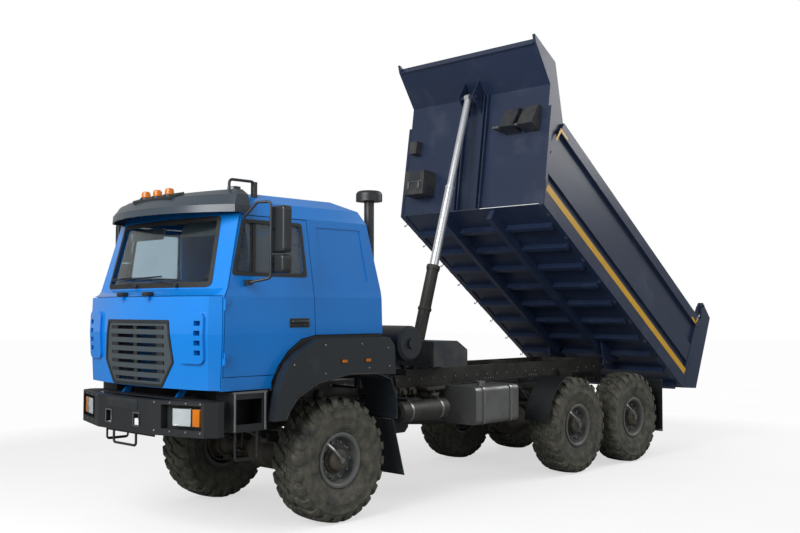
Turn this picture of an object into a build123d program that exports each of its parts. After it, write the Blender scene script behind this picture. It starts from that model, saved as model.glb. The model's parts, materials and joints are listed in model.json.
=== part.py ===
"""Three-axle all-wheel-drive dump truck with a tilting cab and a rear-hinged load bed.

Row frame: +X forward, +Y to the left, +Z up, millimetres. The origin is on the ground, at the middle of
the truck's length and width, with the bed raised. Stations along the truck are written as X0 + distance,
where X0 is the front axle. The bed is drawn lowered, from its own hinge, and is then turned up by BED_TILT.
"""
import math
import os

from build123d import *

os.makedirs("parts", exist_ok=True)

# ---------------------------------------------------------------- driving dimensions, mm and degrees
SEAT = 0.3             # gap left between pieces that rest on each other
RUNNING = 0.05         # radial clearance of a shaft in its bore

TYRE_R = 630
TYRE_WIDTH = 400
TRACK = 1950
BEAD_R = 254
RIM_HALF = 150         # half width of the rim between its flanges
SPINDLE_R = 45
HUB_INNER = 60         # hub's inner end, inboard of the wheel's middle plane

MID_AXLE_BACK = 4270   # from the front axle
REAR_AXLE_BACK = 5680
BUMPER_REACH = 1800    # from the front axle forward
HINGE_BACK = 6000
HINGE_Z = 1370
BED_TILT = 35

RAIL_OUTER = 440
RAIL_FLANGE = 80
RAIL_BOTTOM = 1100
RAIL_TOP = 1370
SUBFRAME_TOP = 1440

# load bed, from the hinge, with the bed lowered
BED_HALF = 1250
BED_INNER = 1160
FLOOR_TOP = 244
FLOOR_PLATE = 12
BEAM_BOTTOM = 75
SILL_BOTTOM = 219
BED_TOP = 1380
BED_REAR_FOOT = -976
BED_REAR_TOP = -845
WALL_FOOT = (3374, FLOOR_TOP)
WALL_HEAD = (4090, 1640)
CANOPY_EDGE = (4620, 1860)
CANOPY_TIP = (4700, 1930)
CHEEK_HEAD = (4170, 1955)
CHEEK_FOOT = (3555, BED_TOP)
TAIL_FOOT = (-1362, 442)
TAIL_HEAD = (-1147, 1608)
TAIL_PIVOT = (-850, 1630)

# hoist: base pivot on the chassis, eye at the head of the bed
HOIST_BACK = 2150
HOIST_Z = 1000
HOIST_PIN = (4235, 1494)
TUBE_LENGTH = 1800
STAGE_1_OUT = 1108
STAGE_RADII = (78, 58, 47)

# cab
CAB_WALL = 55
DOOR_GAP = 7
CAB_FLOOR = 1590
CAB_DECK = 1955
CAB_SIDE_BOTTOM = 1900
DOOR_BOTTOM = 1530
DOOR_REAR = 340
HATCH_BACK = 1460
HATCH_TOP = 2270
HATCH_BOTTOM = 1410
HATCH_WALL = 40
WINDOW_BOTTOM = 2480
WINDOW_TOP = 2985
CAB_HINGE = (1620, 1120)
CAB_HINGE_R = 25


def turned(point, degrees):
    """A point of the lowered bed's side view, turned up about the hinge."""
    a = math.radians(degrees)
    return (point[0] * math.cos(a) - point[1] * math.sin(a), point[0] * math.sin(a) + point[1] * math.cos(a))


REAR_REACH = HINGE_BACK - turned(TAIL_HEAD, BED_TILT)[0]
X0 = (REAR_REACH - BUMPER_REACH) / 2
MID_X = X0 - MID_AXLE_BACK
REAR_X = X0 - REAR_AXLE_BACK
HINGE_X = X0 - HINGE_BACK
HOIST_X = X0 - HOIST_BACK
WHEEL_Y = TRACK / 2
HUB_Y = WHEEL_Y - HUB_INNER

BED_POSE = Location((HINGE_X, 0, HINGE_Z), (0, -BED_TILT, 0))
PIN_X = HINGE_X + turned(HOIST_PIN, BED_TILT)[0]
PIN_Z = HINGE_Z + turned(HOIST_PIN, BED_TILT)[1]
HOIST_LENGTH = math.hypot(PIN_X - HOIST_X, PIN_Z - HOIST_Z)
HOIST_LEAN = math.degrees(math.atan2(HOIST_X - PIN_X, PIN_Z - HOIST_Z))
HOIST_POSE = Location((HOIST_X, 0, HOIST_Z), (0, -HOIST_LEAN, 0))


# ---------------------------------------------------------------- drawing helpers
def side(y=0):
    """Plane along the truck at a station across it: sketch x runs forward and sketch y runs up."""
    return Plane(origin=(0, y, 0), x_dir=(1, 0, 0), z_dir=(0, -1, 0))


def across(x):
    """Plane across the truck at a station along it: sketch x runs to the left and sketch y runs up."""
    return Plane(origin=(x, 0, 0), x_dir=(0, 1, 0), z_dir=(1, 0, 0))


def level(z):
    """Plan view at a height."""
    return Plane.XY.offset(z)


def outline(plane, points):
    """Face inside straight lines through the points."""
    with BuildSketch(plane) as shape:
        with BuildLine():
            Polyline(*points, close=True)
        make_face()
    return shape.sketch


def strip(plane, points, thickness, turn=Side.LEFT):
    """Face of even thickness along an open line of points."""
    with BuildSketch(plane) as shape:
        with BuildLine():
            Polyline(*points)
            offset(amount=thickness, side=turn, kind=Kind.INTERSECTION)
        make_face()
    return shape.sketch


def slab(x, y, z, mode=Mode.ADD):
    """Rectangular bar over the ranges x, y and z, each a pair of low and high."""
    with Locations(((x[0] + x[1]) / 2, (y[0] + y[1]) / 2, (z[0] + z[1]) / 2)):
        Box(x[1] - x[0], y[1] - y[0], z[1] - z[0], mode=mode)


def rod(start, end, radius, mode=Mode.ADD):
    """Round bar from one point to another."""
    run = Vector(*end) - Vector(*start)
    with Locations(Plane(origin=start, z_dir=run)):
        Cylinder(radius, run.length, align=(Align.CENTER, Align.CENTER, Align.MIN), mode=mode)


def bent_bar(points, radius, bend):
    """Round bar along straight runs joined by bends."""
    with BuildPart() as bar:
        with BuildLine() as route:
            FilletPolyline(*points, radius=bend)
        with BuildSketch(Plane(origin=route.line @ 0, z_dir=route.line % 0)):
            Circle(radius)
        sweep(path=route.line)
    return bar.part


def save(builder, name, pose=Location()):
    """Write a finished piece, placed where it stands on the truck."""
    piece = builder.part.moved(pose)
    piece.label = name
    export_step(piece, f"parts/{name}.step")


# ================================================================ chassis
RAIL_WEB = 10
RAIL_FRONT = X0 + 1400
RAIL_REAR = HINGE_X + 75
RAIL_INNER = RAIL_OUTER - RAIL_FLANGE
CROSS_STATIONS = (1300, -1400, -3300, -4060, -4975, -5860)  # from the front axle
CROSS_HALF = 45
TOW_EYE_X = HINGE_X - 20
TOW_EAR_Z = ((1130, 1152), (1205, 1227))     # lower and upper ear of the rear towing clevis
TOW_BORE_R = 21

with BuildPart() as frame_rails:
    with BuildSketch(across(RAIL_REAR)):
        for s in (1, -1):
            with Locations((s * (RAIL_OUTER - RAIL_FLANGE / 2), (RAIL_BOTTOM + RAIL_TOP) / 2)):
                Rectangle(RAIL_FLANGE, RAIL_TOP - RAIL_BOTTOM)
            with Locations((s * (RAIL_OUTER - RAIL_WEB - RAIL_FLANGE / 2), (RAIL_BOTTOM + RAIL_TOP) / 2)):
                Rectangle(RAIL_FLANGE, RAIL_TOP - RAIL_BOTTOM - 2 * RAIL_WEB, mode=Mode.SUBTRACT)
    extrude(amount=RAIL_FRONT - RAIL_REAR)
    for station in CROSS_STATIONS:
        slab((X0 + station - CROSS_HALF, X0 + station + CROSS_HALF),
             (-RAIL_OUTER + RAIL_WEB, RAIL_OUTER - RAIL_WEB),
             (RAIL_BOTTOM + 2 * RAIL_WEB, RAIL_BOTTOM + 150))
    for s in (1, -1):
        stand = [(RAIL_FRONT - 160, RAIL_TOP - 20), (RAIL_FRONT, RAIL_TOP - 60),
                 (X0 + CAB_HINGE[0] + 30, CAB_HINGE[1] + 40), (X0 + CAB_HINGE[0] + 40, CAB_HINGE[1] - 40),
                 (RAIL_FRONT - 160, RAIL_BOTTOM)]
        extrude(outline(side(s * (RAIL_OUTER + 12)), stand), amount=s * 14)
        rod((X0 + CAB_HINGE[0], s * RAIL_OUTER, CAB_HINGE[1]),
            (X0 + CAB_HINGE[0], s * (RAIL_OUTER + 70), CAB_HINGE[1]),
            CAB_HINGE_R)
    for z in TOW_EAR_Z:
        slab((TOW_EYE_X - 55, X0 + CROSS_STATIONS[-1]), (-60, 60), z)
    rod((TOW_EYE_X, 0, TOW_EAR_Z[0][0] - 10), (TOW_EYE_X, 0, TOW_EAR_Z[1][1] + 10), TOW_BORE_R,
        mode=Mode.SUBTRACT)
save(frame_rails, "frame_rails")

# ---- tipper subframe, with the bed's hinge shaft and the hoist's base pin
HINGE_SHAFT_R = 35
HINGE_NOSE_R = 62
HOIST_PIN_R = 35
CHEEK_IN = 95
CHEEK_OUT = 120
HOIST_BEAM_FRONT = HOIST_X + 330
HOIST_BEAM_REAR = HOIST_X - 360
SUBFRAME_FRONT = X0 - 1700
EAR_Y = (462, 502)     # bed's hinge ears, outboard of the rails

with BuildPart() as tipper_subframe:
    for s in (1, -1):
        slab((HINGE_X, SUBFRAME_FRONT), sorted((s * RAIL_INNER, s * RAIL_OUTER)),
             (RAIL_TOP + SEAT, SUBFRAME_TOP))
        foot = [(RAIL_REAR - SEAT, RAIL_TOP + SEAT), (HINGE_X, RAIL_TOP + SEAT), (HINGE_X, 1290),
                (RAIL_REAR - SEAT, 1230)]
        extrude(outline(side(s * RAIL_OUTER), foot), amount=s * RAIL_FLANGE)
        rod((HINGE_X, s * RAIL_INNER, HINGE_Z), (HINGE_X, s * RAIL_OUTER, HINGE_Z), HINGE_NOSE_R)
    rod((HINGE_X, -EAR_Y[1] - 30, HINGE_Z), (HINGE_X, EAR_Y[1] + 30, HINGE_Z), HINGE_SHAFT_R)
    for x in (HOIST_BEAM_FRONT, HOIST_BEAM_REAR, X0 - 4300, X0 - 5600):
        slab((x - 40, x + 40), (-RAIL_INNER, RAIL_INNER), (RAIL_TOP + SEAT, SUBFRAME_TOP))
    for s in (1, -1):
        cheek = [(HOIST_BEAM_REAR - 40, SUBFRAME_TOP), (HOIST_BEAM_FRONT + 40, SUBFRAME_TOP),
                 (HOIST_BEAM_FRONT + 40, 1290), (HOIST_X + 90, 1180), (HOIST_X + 75, HOIST_Z - 60),
                 (HOIST_X - 75, HOIST_Z - 60), (HOIST_X - 90, 1180), (HOIST_BEAM_REAR - 40, 1290)]
        extrude(outline(side(s * CHEEK_OUT), cheek), amount=s * (CHEEK_OUT - CHEEK_IN))
    rod((HOIST_X, -CHEEK_OUT - 25, HOIST_Z), (HOIST_X, CHEEK_OUT + 25, HOIST_Z), HOIST_PIN_R)
save(tipper_subframe, "tipper_subframe")

# ---- engine, one closed block, with its four feet against the rails
ENGINE = ((X0 - 650, X0 + 950), (-270, 270), (900, 1690))
FOOT_STATIONS = (X0 - 350, X0 + 700)

with BuildPart() as engine:
    slab(*ENGINE)
    chamfer(engine.edges().filter_by(Axis.X).group_by(Axis.Z)[-1], 90)
    slab((X0 - 1250, ENGINE[0][0]), (-190, 190), (920, 1330))
    for x in FOOT_STATIONS:
        for s in (1, -1):
            slab((x - 60, x + 60), sorted((s * 260, s * (RAIL_INNER - SEAT))),
                 (RAIL_TOP - 120, RAIL_TOP - 60))
save(engine, "engine")

# ---- axles: beams with their differential housings
AXLE_Z = TYRE_R
BEAM_R = 78
BANJO_R = 200
PINION_REACH = 330
BALL_Y = 760           # steering ball's centre, on the kingpin line
BALL_R = 118
KINGPIN_R = 22
KINGPIN_DEPTH = 40
PAD_HALF = 62


def axle_beam(x, tip_y, pinion_turn):
    """Half section of a beam with its banjo, turned about the wheel line, and its pinion nose."""
    with BuildPart() as beam:
        with BuildSketch(Plane(origin=(x, 0, AXLE_Z), x_dir=(1, 0, 0), z_dir=(0, 0, 1))):
            with BuildLine():
                Polyline((0, -tip_y), (BEAM_R, -tip_y), (BEAM_R, -330), (BANJO_R, -120), (BANJO_R, 120),
                         (BEAM_R, 330), (BEAM_R, tip_y), (0, tip_y), close=True)
            make_face()
        revolve(axis=Axis((x, 0, AXLE_Z), (0, 1, 0)))
        rod((x, 0, AXLE_Z), (x + pinion_turn * PINION_REACH, 0, AXLE_Z), 95)
    return beam.part


with BuildPart() as front_axle:
    add(axle_beam(X0, BALL_Y - 60, -1))
    for s in (1, -1):
        with Locations((X0, s * BALL_Y, AXLE_Z)):
            Sphere(BALL_R)
        for end in (1, -1):
            rod((X0, s * BALL_Y, AXLE_Z + end * (BALL_R - KINGPIN_DEPTH)),
                (X0, s * BALL_Y, AXLE_Z + end * BALL_R * 1.1),
                KINGPIN_R + RUNNING, mode=Mode.SUBTRACT)

# ---- leaf springs: table of packs
LEAF_T = 13
LEAF_W = 90
LEAVES = 9
FRONT_SPRING_HALF = 700
REAR_SPRING_HALF = (REAR_AXLE_BACK - MID_AXLE_BACK) / 2 + 50
SPRING_RISE = 120
FRONT_SPRING_Y = RAIL_OUTER - LEAF_W / 2
REAR_SPRING_Y = 560
FRONT_SEAT_Z = AXLE_Z + BEAM_R + 22
REAR_PAD_TOP = AXLE_Z + BEAM_R + 12
BOGIE_X = (MID_X + REAR_X) / 2
SHORTEN = 0.085


def leaf_pack(x, y, foot_z, half, up):
    """Stack of bow-shaped leaves. Its middle stands at foot_z, its ends rise by up, and the longest is inside."""
    bow = (half ** 2 + SPRING_RISE ** 2) / (2 * SPRING_RISE)
    centre = foot_z + up * (LEAVES * LEAF_T + bow)
    with BuildPart() as pack:
        with BuildSketch(side(y)):
            for i in range(LEAVES):
                reach = half * (1 - SHORTEN * i)
                arcs = []
                with BuildLine():
                    for r in (bow + i * LEAF_T, bow + (i + 1) * LEAF_T):
                        end_z = centre - up * math.sqrt(r ** 2 - reach ** 2)
                        arcs.append(ThreePointArc((x - reach, end_z), (x, centre - up * r),
                                                  (x + reach, end_z)))
                    Line(arcs[0] @ 0, arcs[1] @ 0)
                    Line(arcs[0] @ 1, arcs[1] @ 1)
                make_face()
        extrude(amount=LEAF_W / 2, both=True)
    return pack.part


PACK_T = LEAVES * LEAF_T
REAR_PACK_TOP = REAR_PAD_TOP + SEAT + SPRING_RISE + PACK_T
BOGIE_SHAFT_Z = REAR_PACK_TOP - PACK_T - 80
BOGIE_SHAFT_R = 50

with BuildPart() as leaf_springs:
    for s in (1, -1):
        y = s * FRONT_SPRING_Y
        add(leaf_pack(X0, y, FRONT_SEAT_Z, FRONT_SPRING_HALF, 1))
        eye_z = FRONT_SEAT_Z + PACK_T + SPRING_RISE
        for end in (1, -1):
            x = X0 + end * (FRONT_SPRING_HALF - 30)
            slab((x - 45, x + 45), (y - LEAF_W / 2, y + LEAF_W / 2), (eye_z - 25, RAIL_BOTTOM - SEAT))
        slab((X0 - 75, X0 + 75), (y - LEAF_W / 2, y + LEAF_W / 2), (AXLE_Z + BEAM_R + SEAT, FRONT_SEAT_Z + 2))
        y = s * REAR_SPRING_Y
        add(leaf_pack(BOGIE_X, y, REAR_PACK_TOP, REAR_SPRING_HALF, -1))
        slab((BOGIE_X - 90, BOGIE_X + 90), (y - LEAF_W / 2, y + LEAF_W / 2),
             (BOGIE_SHAFT_Z - 70, REAR_PACK_TOP - PACK_T + 2))
        bracket = [(BOGIE_X - 170, RAIL_TOP - 40), (BOGIE_X + 170, RAIL_TOP - 40),
                   (BOGIE_X + 80, BOGIE_SHAFT_Z - 75),
                   (BOGIE_X - 80, BOGIE_SHAFT_Z - 75)]
        extrude(outline(side(s * (RAIL_OUTER + SEAT)), bracket), amount=-s * 30)
    rod((BOGIE_X, -REAR_SPRING_Y, BOGIE_SHAFT_Z), (BOGIE_X, REAR_SPRING_Y, BOGIE_SHAFT_Z), BOGIE_SHAFT_R)
save(leaf_springs, "leaf_springs")
save(front_axle, "front_axle")

with BuildPart() as rear_axles:
    for x in (MID_X, REAR_X):
        add(axle_beam(x, HUB_Y - SEAT, 1))
        for s in (1, -1):
            rod((x, s * (HUB_Y - 2), AXLE_Z), (x, s * (WHEEL_Y + 78), AXLE_Z), SPINDLE_R)
            slab((x - PAD_HALF, x + PAD_HALF), sorted((s * (REAR_SPRING_Y - 45), s * (REAR_SPRING_Y + 45))),
                 (AXLE_Z, REAR_PAD_TOP))
save(rear_axles, "rear_axles")

# ---- transfer case and propeller shafts
CASE = ((X0 - 2000, X0 - 1500), (-190, 190), (660, 1060))
SHAFT_R = 45
YOKE_R = 80
SHAFT_RUNS = (          # x and z of each end
    (X0 - PINION_REACH - SEAT, AXLE_Z, CASE[0][1] - 5, 780),
    (CASE[0][0] + 5, 780, MID_X + PINION_REACH + SEAT, AXLE_Z),
    (MID_X - BANJO_R - SEAT - 1, AXLE_Z, REAR_X + PINION_REACH + SEAT, AXLE_Z),
    (CASE[0][1] - 5, 960, X0 - 1250 - SEAT, 1060),
)

with BuildPart() as driveline:
    slab(*CASE)
    chamfer(driveline.edges().filter_by(Axis.Y), 60)
    for x0, z0, x1, z1 in SHAFT_RUNS:
        slope = (z1 - z0) / (x1 - x0)
        turn = math.copysign(1, x1 - x0)
        rod((x0 + turn * 60, 0, z0 + slope * turn * 60), (x1 - turn * 60, 0, z1 - slope * turn * 60), SHAFT_R)
        rod((x0, 0, z0), (x0 + turn * 90, 0, z0), YOKE_R)
        rod((x1, 0, z1), (x1 - turn * 90, 0, z1), YOKE_R)
    for s in (1, -1):
        slab((X0 - 1800, X0 - 1700), sorted((s * 180, s * (RAIL_INNER - SEAT))), (1000, 1050))
        slab((X0 - 1800, X0 - 1700), sorted((s * (RAIL_INNER - 30), s * (RAIL_INNER - SEAT))), (1000, 1250))
save(driveline, "driveline")

# ================================================================ steering knuckles and tie rod
SHELL_IN = BALL_R + 5
SHELL_OUT = BALL_R + 32
ARM_BACK = 235
LIP = 22                # how far the shell reaches inboard of the kingpin
NECK_R = 118
ARM_T = 22
ARM_Y = BALL_Y - 45
ARM_TOP = AXLE_Z - SHELL_OUT - 20

for name, s in (("left", 1), ("right", -1)):
    with BuildPart() as knuckle:
        with BuildSketch(Plane(origin=(X0, 0, AXLE_Z), x_dir=(1, 0, 0), z_dir=(0, 0, s))):
            with BuildLine():
                ThreePointArc((math.sqrt(SHELL_IN ** 2 - LIP ** 2), BALL_Y - LIP),
                              (SHELL_IN * math.cos(0.8), BALL_Y + SHELL_IN * math.sin(0.8)), (0,
                                                                                              BALL_Y + SHELL_IN))
                Polyline((0, BALL_Y + SHELL_IN), (0, WHEEL_Y + 78), (SPINDLE_R, WHEEL_Y + 78),
                         (SPINDLE_R, HUB_Y - SEAT),
                         (170, HUB_Y - SEAT), (170, HUB_Y - 22), (NECK_R, HUB_Y - 22),
                         (NECK_R, BALL_Y + math.sqrt(SHELL_OUT ** 2 - NECK_R ** 2)))
                ThreePointArc((NECK_R, BALL_Y + math.sqrt(SHELL_OUT ** 2 - NECK_R ** 2)),
                              (SHELL_OUT * math.cos(0.2), BALL_Y + SHELL_OUT * math.sin(0.2)),
                              (math.sqrt(SHELL_OUT ** 2 - LIP ** 2), BALL_Y - LIP))
                Line((math.sqrt(SHELL_OUT ** 2 - LIP ** 2), BALL_Y - LIP),
                     (math.sqrt(SHELL_IN ** 2 - LIP ** 2), BALL_Y - LIP))
            make_face()
        revolve(axis=Axis((X0, 0, AXLE_Z), (0, 1, 0)))
        for end in (1, -1):
            rod((X0, s * BALL_Y, AXLE_Z + end * (BALL_R - KINGPIN_DEPTH + 2)),
                (X0, s * BALL_Y, AXLE_Z + end * (SHELL_OUT + 20)), KINGPIN_R)
            rod((X0, s * BALL_Y, AXLE_Z + end * (SHELL_IN + 8)),
                (X0, s * BALL_Y, AXLE_Z + end * (SHELL_OUT + 20)), 52)
        arm = [(X0 + 45, s * (BALL_Y + 40)), (X0 + 45, s * (BALL_Y - 40)),
               (X0 - ARM_BACK - 30, s * (ARM_Y - 30)),
               (X0 - ARM_BACK - 30, s * (ARM_Y + 30))]
        extrude(outline(level(ARM_TOP - ARM_T), arm), amount=ARM_T)
    save(knuckle, f"knuckle_{name}")

TIE_R = 20
TIE_TOP = ARM_TOP - ARM_T - SEAT
with BuildPart() as tie_rod:
    for s in (1, -1):
        rod((X0 - ARM_BACK, s * ARM_Y, TIE_TOP - 44), (X0 - ARM_BACK, s * ARM_Y, TIE_TOP), 30)
    rod((X0 - ARM_BACK, -ARM_Y, TIE_TOP - 24), (X0 - ARM_BACK, ARM_Y, TIE_TOP - 24), TIE_R)
save(tie_rod, "tie_rod")

# ================================================================ wheels
HUB_OUTER = 118
DRUM_R = 205
DISC_Y = 45
LUGS = 16              # shoulder lugs on each side of a tyre
LUG_GAP = 52           # notch between lugs, round the tyre
LUG_REACH = 85         # how far a notch runs in from the sidewall
LUG_DEPTH = 26

SIDEWALL = ((BEAD_R + 24, 148), (BEAD_R + 60, 160), (380, 188), (470, TYRE_WIDTH / 2),
            (TYRE_R - 50, TYRE_WIDTH / 2 - 12), (TYRE_R - 8, TYRE_WIDTH / 2 - 55))   # radius, half width

# tyre and rim are drawn at the origin, about the Y axis and with their outer face towards +Y
with BuildPart() as tyre:
    with BuildSketch(Plane.XY):
        with BuildLine():
            Polyline((BEAD_R + SEAT, 147), *SIDEWALL, (TYRE_R, 0), *[(r, -w) for r, w in reversed(SIDEWALL)],
                     (BEAD_R + SEAT, -147), close=True)
        make_face()
    revolve(axis=Axis.Y)
    for edge, start in ((TYRE_WIDTH / 2, 0), (-TYRE_WIDTH / 2, 180 / LUGS)):
        with Locations(Plane(origin=(0, edge, 0), x_dir=(1, 0, 0), z_dir=(0, 1, 0))):
            with PolarLocations(TYRE_R, LUGS, start_angle=start):
                Box(2 * LUG_DEPTH, LUG_GAP, 2 * LUG_REACH, mode=Mode.SUBTRACT)

with BuildPart() as rim:
    with BuildSketch(Plane.XY):
        with BuildLine():
            Polyline((0, HUB_OUTER), (80, HUB_OUTER), (98, 100), (98, DISC_Y + 22), (150, DISC_Y + 22),
                     (215, 62),
                     (236, 120), (242, 158), (BEAD_R + 20, 158), (BEAD_R + 20, 149), (BEAD_R, 148), (BEAD_R,
                                                                                                     -148),
                     (BEAD_R + 20, -149), (BEAD_R + 20, -158), (240, -150), (240, 20), (DRUM_R, 20), (DRUM_R,
                                                                                                      -130),
                     (DRUM_R - 14, -130), (DRUM_R - 14, DISC_Y - 18), (98, DISC_Y - 18), (98, -HUB_INNER),
                     (SPINDLE_R + RUNNING, -HUB_INNER), (SPINDLE_R + RUNNING, 80), (0, 80), close=True)
        make_face()
    revolve(axis=Axis.Y)

for row, x in (("front", X0), ("mid", MID_X), ("rear", REAR_X)):
    for name, y, turn in (("left", WHEEL_Y, 0), ("right", -WHEEL_Y, 180)):
        place = Location((x, y, AXLE_Z), (0, 0, turn))
        save(tyre, f"tyre_{row}_{name}", place)
        save(rim, f"rim_{row}_{name}", place)

# ================================================================ load bed, drawn lowered from its hinge
BEAM_Y = RAIL_OUTER - RAIL_FLANGE / 2
BEAM_HALF = 38
BEARER_DEPTH = 80
BEARER_STATIONS = [-900 + 430 * i for i in range(10)]
BEARER_HALF = 30
FLOOR_BOTTOM = FLOOR_TOP - FLOOR_PLATE
FLOOR_REAR = BED_REAR_FOOT + 26
WALL_LEAN = math.atan2(WALL_HEAD[0] - WALL_FOOT[0], WALL_HEAD[1] - WALL_FOOT[1])
WALL_T = 12
EAR_R = 75

with BuildPart() as bed_floor:
    slab((FLOOR_REAR, WALL_FOOT[0] - WALL_T - 2), (-BED_INNER + SEAT, BED_INNER - SEAT),
         (FLOOR_BOTTOM, FLOOR_TOP))
    for x in BEARER_STATIONS:
        slab((x - BEARER_HALF, x + BEARER_HALF), (-BED_INNER + SEAT, BED_INNER - SEAT),
             (FLOOR_BOTTOM - BEARER_DEPTH, FLOOR_BOTTOM))
    for s in (1, -1):
        slab((HINGE_NOSE_R, WALL_FOOT[0] - 40), sorted((s * (BEAM_Y - BEAM_HALF), s * (BEAM_Y + BEAM_HALF))),
             (BEAM_BOTTOM, FLOOR_BOTTOM))
        ear = [(-70, -10), (-40, -EAR_R), (40, -EAR_R), (75, 0), (330, FLOOR_BOTTOM - 5),
               (-260, FLOOR_BOTTOM - 5)]
        extrude(outline(side(s * EAR_Y[1]), ear), amount=s * (EAR_Y[1] - EAR_Y[0]))
    rod((0, -EAR_Y[1] - 10, 0), (0, EAR_Y[1] + 10, 0), HINGE_SHAFT_R + RUNNING, mode=Mode.SUBTRACT)
save(bed_floor, "bed_floor", BED_POSE)

# ---- sides: a sheet with proud rails and posts, and the cheek that rises beside the front wall
CHEEK_T = 42
SIDE_OUTLINE = [(BED_REAR_FOOT, SILL_BOTTOM), (WALL_FOOT[0] - 12, SILL_BOTTOM), WALL_HEAD, CANOPY_EDGE,
                CANOPY_TIP,
                CHEEK_HEAD, CHEEK_FOOT, (BED_REAR_TOP, BED_TOP)]
# bands along the side: low edge, high edge, how far they stand out
SIDE_BANDS = ((SILL_BOTTOM, 500, BED_HALF), (620, 900, BED_HALF - 12), (1230, BED_TOP, BED_HALF))
POSTS = ((BED_REAR_FOOT, BED_REAR_TOP, 60), (WALL_FOOT[0] - 60, WALL_HEAD[0] - 190, 60))  # foot x, head x, width

with BuildPart() as bed_sides:
    extrude(outline(side(BED_INNER + CHEEK_T), SIDE_OUTLINE), amount=CHEEK_T)
    for low, high, outer in SIDE_BANDS:
        with BuildSketch(side(outer)) as band:
            add(outline(Plane.XY, SIDE_OUTLINE))
            with Locations(((BED_REAR_FOOT + CHEEK_FOOT[0]) / 2, (low + high) / 2)):
                Rectangle(CHEEK_FOOT[0] - BED_REAR_FOOT + 120, high - low, mode=Mode.INTERSECT)
        extrude(amount=outer - BED_INNER - CHEEK_T)
    for foot, head, width in POSTS:
        post = [(foot, SILL_BOTTOM), (foot + width, SILL_BOTTOM), (head + width, BED_TOP), (head, BED_TOP)]
        extrude(outline(side(BED_HALF - 5), post), amount=BED_HALF - 5 - BED_INNER - CHEEK_T)
    slab((TAIL_PIVOT[0] - 22, TAIL_PIVOT[0] + 60), (BED_INNER, BED_INNER + CHEEK_T),
         (BED_TOP - 2, TAIL_PIVOT[1] - 40))
    rod((TAIL_PIVOT[0], BED_INNER, TAIL_PIVOT[1]), (TAIL_PIVOT[0], BED_INNER + CHEEK_T, TAIL_PIVOT[1]), 50)
    rod((TAIL_PIVOT[0], BED_INNER, TAIL_PIVOT[1]), (TAIL_PIVOT[0], BED_HALF, TAIL_PIVOT[1]), 20)
    mirror(about=Plane.XZ)
save(bed_sides, "bed_sides", BED_POSE)

# ---- front wall with its canopy, ribs and the hoist's ears
RIB_Y = 190
RIB_HALF = 40
RIB_OUT = 55
HOIST_EAR_Y = (112, 134)
STUB_Y = 53
wall_plane = Plane(origin=(WALL_FOOT[0], 0, WALL_FOOT[1]), x_dir=(0, 1, 0),
                   z_dir=(math.cos(WALL_LEAN), 0, -math.sin(WALL_LEAN)))
WALL_HEIGHT = math.hypot(WALL_HEAD[0] - WALL_FOOT[0], WALL_HEAD[1] - WALL_FOOT[1])

with BuildPart() as bed_front_wall:
    extrude(strip(side(), [WALL_FOOT, WALL_HEAD, CANOPY_EDGE], WALL_T), amount=BED_INNER - SEAT, both=True)
    slab((CANOPY_EDGE[0] - 20, CANOPY_EDGE[0] + 6), (-BED_INNER + SEAT, BED_INNER - SEAT),
         (CANOPY_EDGE[1] - 20, CANOPY_EDGE[1] + 70))
    with BuildSketch(wall_plane):
        with Locations(*[(s * RIB_Y, WALL_HEIGHT / 2) for s in (1, -1)]):
            Rectangle(2 * RIB_HALF, WALL_HEIGHT)
        with Locations(*[(s * RIB_Y, WALL_HEIGHT / 2) for s in (1, -1)]):
            Rectangle(RIB_HALF, WALL_HEIGHT + 10, mode=Mode.SUBTRACT)
    extrude(amount=RIB_OUT)
    for s in (1, -1):
        ear = [(WALL_HEAD[0] - 110, 1400), (HOIST_PIN[0] - 10, HOIST_PIN[1] - 60),
               (HOIST_PIN[0] + 60, HOIST_PIN[1] - 30),
               (HOIST_PIN[0] + 70, 1715), (WALL_HEAD[0] + 10, 1650)]
        extrude(outline(side(s * HOIST_EAR_Y[1]), ear), amount=s * (HOIST_EAR_Y[1] - HOIST_EAR_Y[0]))
        rod((HOIST_PIN[0], s * STUB_Y, HOIST_PIN[1]), (HOIST_PIN[0], s * (HOIST_EAR_Y[1] + 22), HOIST_PIN[1]),
            30)
save(bed_front_wall, "bed_front_wall", BED_POSE)

# ---- tailgate: a scoop-shaped gate hung from the top of the sides
GATE_T = 45
GATE_GAP = 8
GATE_FOOT = (BED_REAR_FOOT - GATE_GAP - 30, SILL_BOTTOM + 14)
gate_line = [GATE_FOOT, TAIL_FOOT, TAIL_HEAD]

with BuildPart() as tailgate:
    extrude(strip(side(), gate_line, GATE_T, Side.RIGHT), amount=BED_INNER + CHEEK_T + 30, both=True)
    for s in (1, -1):
        cheek = [GATE_FOOT, TAIL_FOOT, TAIL_HEAD, (TAIL_PIVOT[0] - 40, TAIL_PIVOT[1] + 30),
                 (TAIL_PIVOT[0] + 20, TAIL_PIVOT[1] + 45),
                 (TAIL_PIVOT[0] + 45, TAIL_PIVOT[1] - 25), (BED_REAR_TOP - GATE_GAP - 50, BED_TOP + 60),
                 (BED_REAR_TOP - 2 * GATE_GAP, BED_TOP - 60)]
        extrude(outline(side(s * (BED_INNER + CHEEK_T + 30)), cheek), amount=s * (30 - SEAT))
    rod((TAIL_PIVOT[0], -BED_HALF - 10, TAIL_PIVOT[1]), (TAIL_PIVOT[0], BED_HALF + 10, TAIL_PIVOT[1]),
        20 + RUNNING,
        mode=Mode.SUBTRACT)
save(tailgate, "tailgate", BED_POSE)

# ================================================================ hoist: tube and two stages, drawn upright
TUBE_R, STAGE_1_R, STAGE_2_R = STAGE_RADII
BOSS_R = 62
EYE_R = 50
EYE_HALF = 40

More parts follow.
